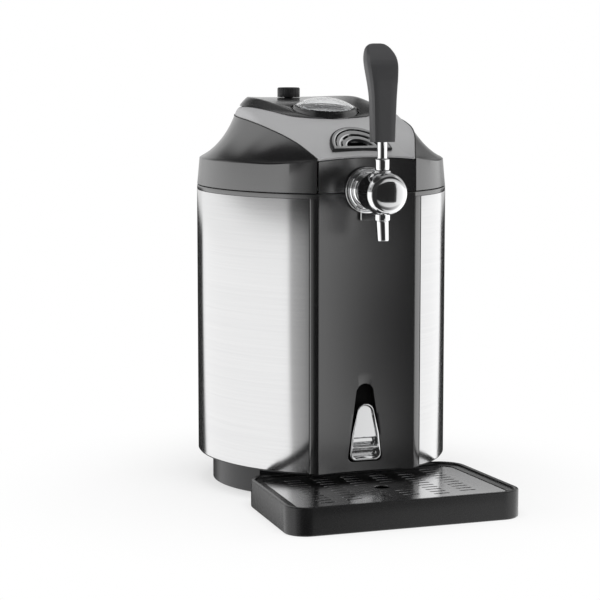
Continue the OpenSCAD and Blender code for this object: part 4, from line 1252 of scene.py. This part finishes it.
# %% Seat, frame, cup wall and pull
moon_ring("latch_seat", 31.8, 40.9, [(-2.2, -3), (-2.2, 0.2), (-0.9, 0.45), (0.4, 0.35),
                                     (0.9, -0.2), (0.9, -3)],
          0.3, "satin black", "lid", "latch_frame")
moon_ring("latch_frame_outer", 30.6, 39.7, [(0, -3), (0, 0.9), (-0.9, 1.4), (-2.4, 1.4),
                                            (-3.4, 0.6), (-3.4, -3)],
          0.35, "chrome", "lid", "latch_frame")
moon_ring("latch_frame_step", 27.4, 36.1, [(-1.7, -3.9), (-1.7, 0.1), (-2.6, 0.3),
                                           (-5.6, -0.3), (-6.7, -1.2), (-6.7, -3.9)],
          0.3, "chrome", "lid", "latch_frame")
moon_ring("latch_cup_wall", 29.6, 38.7, [(0, -11.9), (0, -4.05), (-1.6, -4.05),
                                         (-1.6, -10.4), (-2.3, -10.4), (-2.3, -11.9)],
          0.3, "satin black", "lid", "latch_cup")
moon_ring("latch_pull", 21.8, 27.7, [(-2.3, -5), (-2.3, -1.2), (-3.0, -0.7), (-5.4, -0.7),
                                     (-6.8, -1.6), (-6.8, -5)],
          0.4, "chrome", "latch", "latch_lever")

# %% [markdown]
# ## The cup's floor and the hooks
# The pull's two hooks pass down through the cup's floor, so the floor has a slot for each. A
# boolean would cut them, but seven small plates with straight edges leave the same slots and
# keep clean faces. Arms, hooks and ears are straps of one thickness with a side outline.

# %% The cup's floor
SLOT_IN, SLOT_OUT = 10.5, 14.5             # the slots lie between these x, at both sides
SLOT_LOW, SLOT_HIGH = 6, 29.5
FLOOR_LOW, FLOOR_HALF_WIDTH, FLOOR_HEIGHT = 1.2, 28.3, 37.2


def floor_plate(x0, x1, y0, y1=None, n=14):
    """Part of the cup's floor between two x, from y0 up to y1 or to the arch."""
    x = np.linspace(x0, x1, n)
    top = np.full(n, y1) if y1 else FLOOR_HEIGHT * np.sqrt(1 - (x / FLOOR_HALF_WIDTH) ** 2)
    ring = np.r_[np.c_[x, np.full(n, y0)], np.c_[x, top][::-1]]
    return np.stack([np.c_[ring, np.full(2 * n, d)] for d in (-10.4, -11.9)])


PLATES = [(-28, -SLOT_OUT, FLOOR_LOW), (-SLOT_IN, SLOT_IN, FLOOR_LOW), (SLOT_OUT, 28, FLOOR_LOW)]
PLATES += [(x, x + SLOT_OUT - SLOT_IN, y0, y1) for y0, y1 in ((FLOOR_LOW, SLOT_LOW),
                                                              (SLOT_HIGH, None))
           for x in (-SLOT_OUT, SLOT_IN)]
for i, plate in enumerate(PLATES, 1):
    loops_piece(f"latch_cup_floor_{i}", on_latch(floor_plate(*plate)), "satin black", "lid",
                ["latch_cup"], "satin_black")

# %% Hooks of the latch
PIVOT = on_latch(np.array([0, 24.8, -7.6]))
HOOK_X = 12.5
STRAP_STEPS = ((-1.5, 0.25), (-1.25, 0), (1.25, 0), (1.5, 0.25))
EAR = np.array([(12, -9), (12, -4.6), (18.4, -4.6), (18.4, -5.6), (26, -5.6), (26, -9)])


def strap(x, outline_yz, name):
    """A flat strap 3 mm thick with a side outline in (y, z); its outer loops shrink a little
    toward the outline's middle, which eases the edges."""
    p = softened(outline_yz, 0.5, 3)
    c = p.mean(0)
    loops = [np.c_[np.full(len(p), x + dx), c + (p - c) * (1 - inset / 12)]
             for dx, inset in STRAP_STEPS]
    loops_piece(name, np.stack(loops), "chrome", "latch", ["latch_lever"], "chrome")


arm = hull_curve([(PIVOT[1], PIVOT[2], 3.2), (-109, 360, 2)], 48)
hook = [(-111, 361), (-111, 314), (-109, 312.5), (-104.2, 315.2), (-104.2, 316.4),
        (-107.2, 316.8), (-107.2, 361)]
ear = on_latch(np.c_[np.zeros(len(EAR)), EAR])[:, 1:]
for side, x in (("left", -HOOK_X), ("right", HOOK_X)):
    strap(x, arm, f"latch_arm_{side}")
    strap(x, hook, f"latch_hook_{side}")
    strap(x, ear, f"latch_ear_{side}")

# %% [markdown]
# ## The drip tray and its grille
# The tray is a deep black bowl with a soft rim. In plan it is a band stretched round four
# discs, so any inset of it is the band round four smaller discs, and the bowl is a stack of
# such loops: up the wall, over the rim, down the ledges, and across the floor. The grille is
# a flat curve with its slots as holes, given a little thickness and an eased edge.

# %% Tray
TRAY_CORNERS = ((102.5, -238.3, 22), (91, -125, 28))    # x, y and radius, front and rear
TRAY_MIDDLE = np.array([0, -180.0])
TRAY_POINTS = 400


def tray_plan(d, count=TRAY_POINTS):
    """Outline of the tray moved in by d."""
    return hull_curve([(sx * x, y, r - d) for sx in (-1, 1) for x, y, r in TRAY_CORNERS], count)


# from the foot up the wall, over the rim, down the ledges to the floor: inset and height
TRAY = [(3.0, 0), (0.9, 0.25), (0.2, 0.9), (0, 2), (0, 14), (0, 27.3), (0.25, 28.1),
        (0.9, 28.6), (1.6, 28.7), (3.6, 28.7), (4.2, 28.55), (4.55, 28.2), (4.6, 27.6),
        (4.6, 26.9), (4.75, 26.55), (5.1, 26.4), (12.1, 26.4), (12.5, 26.2), (12.6, 25.9),
        (12.6, 24.4), (16.8, 24.4), (17, 24.2), (17, 5), (17.6, 3.5), (19, 3)]


def tray_pole(z):
    """A loop drawn together in one point, which closes the bowl below or above."""
    return np.tile([*TRAY_MIDDLE, z], (TRAY_POINTS, 1))


walls = [np.c_[tray_plan(d), np.full(TRAY_POINTS, z)] for d, z in TRAY]
loops = np.stack([tray_pole(0.0), *walls, tray_pole(3.0)])
piece("drip_tray_bowl", loops, grid_faces(*loops.shape[:2]), "tray black", "tray",
      ["drip_tray"], "satin_black", angle=40)

# %% Holes of the grille
HOLE_MIDDLE, HOLE_RADIUS = np.array([0, -184.0]), 7.75
SLOT_HALF, SLOT_ROUND = 7.35, 1.5           # half the straight run of a slot, and its end radius
SLOT_PITCH, SLOT_COLUMNS = 10.4, 30.6


def slot_places():
    """Middles of the slots: six columns, every other one set back by half a pitch, with the
    slots beside the finger hole left out."""
    i, row = np.meshgrid(np.arange(-3, 3), np.arange(-4, 7), indexing="ij")
    x = SLOT_COLUMNS * (i + 0.5)
    y = -183.8 - np.where(i % 2, SLOT_PITCH / 2, 0) + row * SLOT_PITCH
    keep = (abs(x) > 20) | (abs(y - HOLE_MIDDLE[1]) > 12)
    return np.stack([x[keep], y[keep]], -1)


def circle_points(radius, start, end, count, closed):
    """Points of an arc about the origin, in radians from `start` to `end`."""
    a = np.linspace(start, end, count, endpoint=closed)
    return radius * np.stack([np.cos(a), np.sin(a)], -1)


end = circle_points(SLOT_ROUND, -np.pi / 2, np.pi / 2, 9, True)
oblong = np.vstack([end + [SLOT_HALF, 0], -end - [SLOT_HALF, 0]])
finger_hole = HOLE_MIDDLE + circle_points(HOLE_RADIUS, 0, 2 * np.pi, 64, False)
outlines = [tray_plan(13.0, 300), finger_hole] + [oblong + at for at in slot_places()]
print("grille slots:", len(outlines) - 2)

# %% Grille
PLATE_HALF, PLATE_EDGE, PLATE_Z = 0.48, 0.12, 25.05


def ring_spline(curve, points):
    s = curve.splines.new("POLY")
    s.points.add(len(points) - 1)
    s.points.foreach_set("co", np.c_[points, np.zeros(len(points)), np.ones(len(points))].ravel())
    s.use_cyclic_u = True


def grille_mesh():
    """A filled flat curve, made a mesh before anything is placed."""
    flat = bpy.data.curves.new("grille_plan", "CURVE")
    flat.dimensions, flat.fill_mode = "2D", "BOTH"
    for outline in outlines:
        ring_spline(flat, outline * MM)
    flat.extrude, flat.offset = PLATE_HALF * MM, -PLATE_EDGE * MM
    flat.bevel_depth, flat.bevel_resolution = PLATE_EDGE * MM, 1
    maker = bpy.data.objects.new("grille_maker", flat)
    scene.collection.objects.link(maker)
    bpy.context.view_layer.update()
    seen_now = maker.evaluated_get(bpy.context.evaluated_depsgraph_get())
    mesh = bpy.data.meshes.new_from_object(seen_now)
    bpy.data.objects.remove(maker)
    return mesh


mesh = grille_mesh()
pts = np.empty(len(mesh.vertices) * 3)
mesh.vertices.foreach_get("co", pts)
pts = pts.reshape(-1, 3) / MM + np.array([0, 0, PLATE_Z])
# only nearly level faces share their shading, so the plate mirrors as flat
piece("drip_grille_plate", pts, [list(p.vertices) for p in mesh.polygons],
      "polished grille steel", "grille", ["drip_grille"], "polished_steel", angle=12)

# %% [markdown]
# ## Finishes for the solids that stay
# The inner works, the rear and the small fittings keep the shape of their solids. Their plain
# materials are swapped for the finishes above, one by one, in their own slots.

# %% Dress the remaining solids
DRESS = {
    "rubber": ["feet", "tap_gasket", "lid_gasket"],
    "satin black": ["base_plinth", "base_cover", "body_floor", "top_deck", "fan_frame",
                    "fan_rotor", "rear_panel", "power_inlet", "power_switch",
                    "hinge_bracket", "lid_hinge_leaf", "co2_holder"],
    "circuit board": ["power_board", "display_board"],
    "zinc steel": ["transformer", "body_screws", "hinge_pin", "latch_striker", "co2_cartridge",
                   "latch_pin"],
    "aluminium": ["cooling_well", "cold_block", "heat_sink"],
    "foam": ["insulation"],
    "white plastic": ["peltier_module", "lid_liner"],
    "chrome": ["tap_locknut"],
    "brass": ["regulator_body"],
}
LOOK_OF = {node: look for look, nodes in DRESS.items() for node in nodes}
# nodes that a new piece stands for are hidden, so any finish will do for them
for name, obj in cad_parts.items():
    for slot in obj.material_slots:
        slot.material = FINISHES[LOOK_OF.get(name, "satin black")]
print("solids dressed:", len(LOOK_OF.keys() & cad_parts.keys()))

# %% Update the scene
bpy.context.view_layer.update()
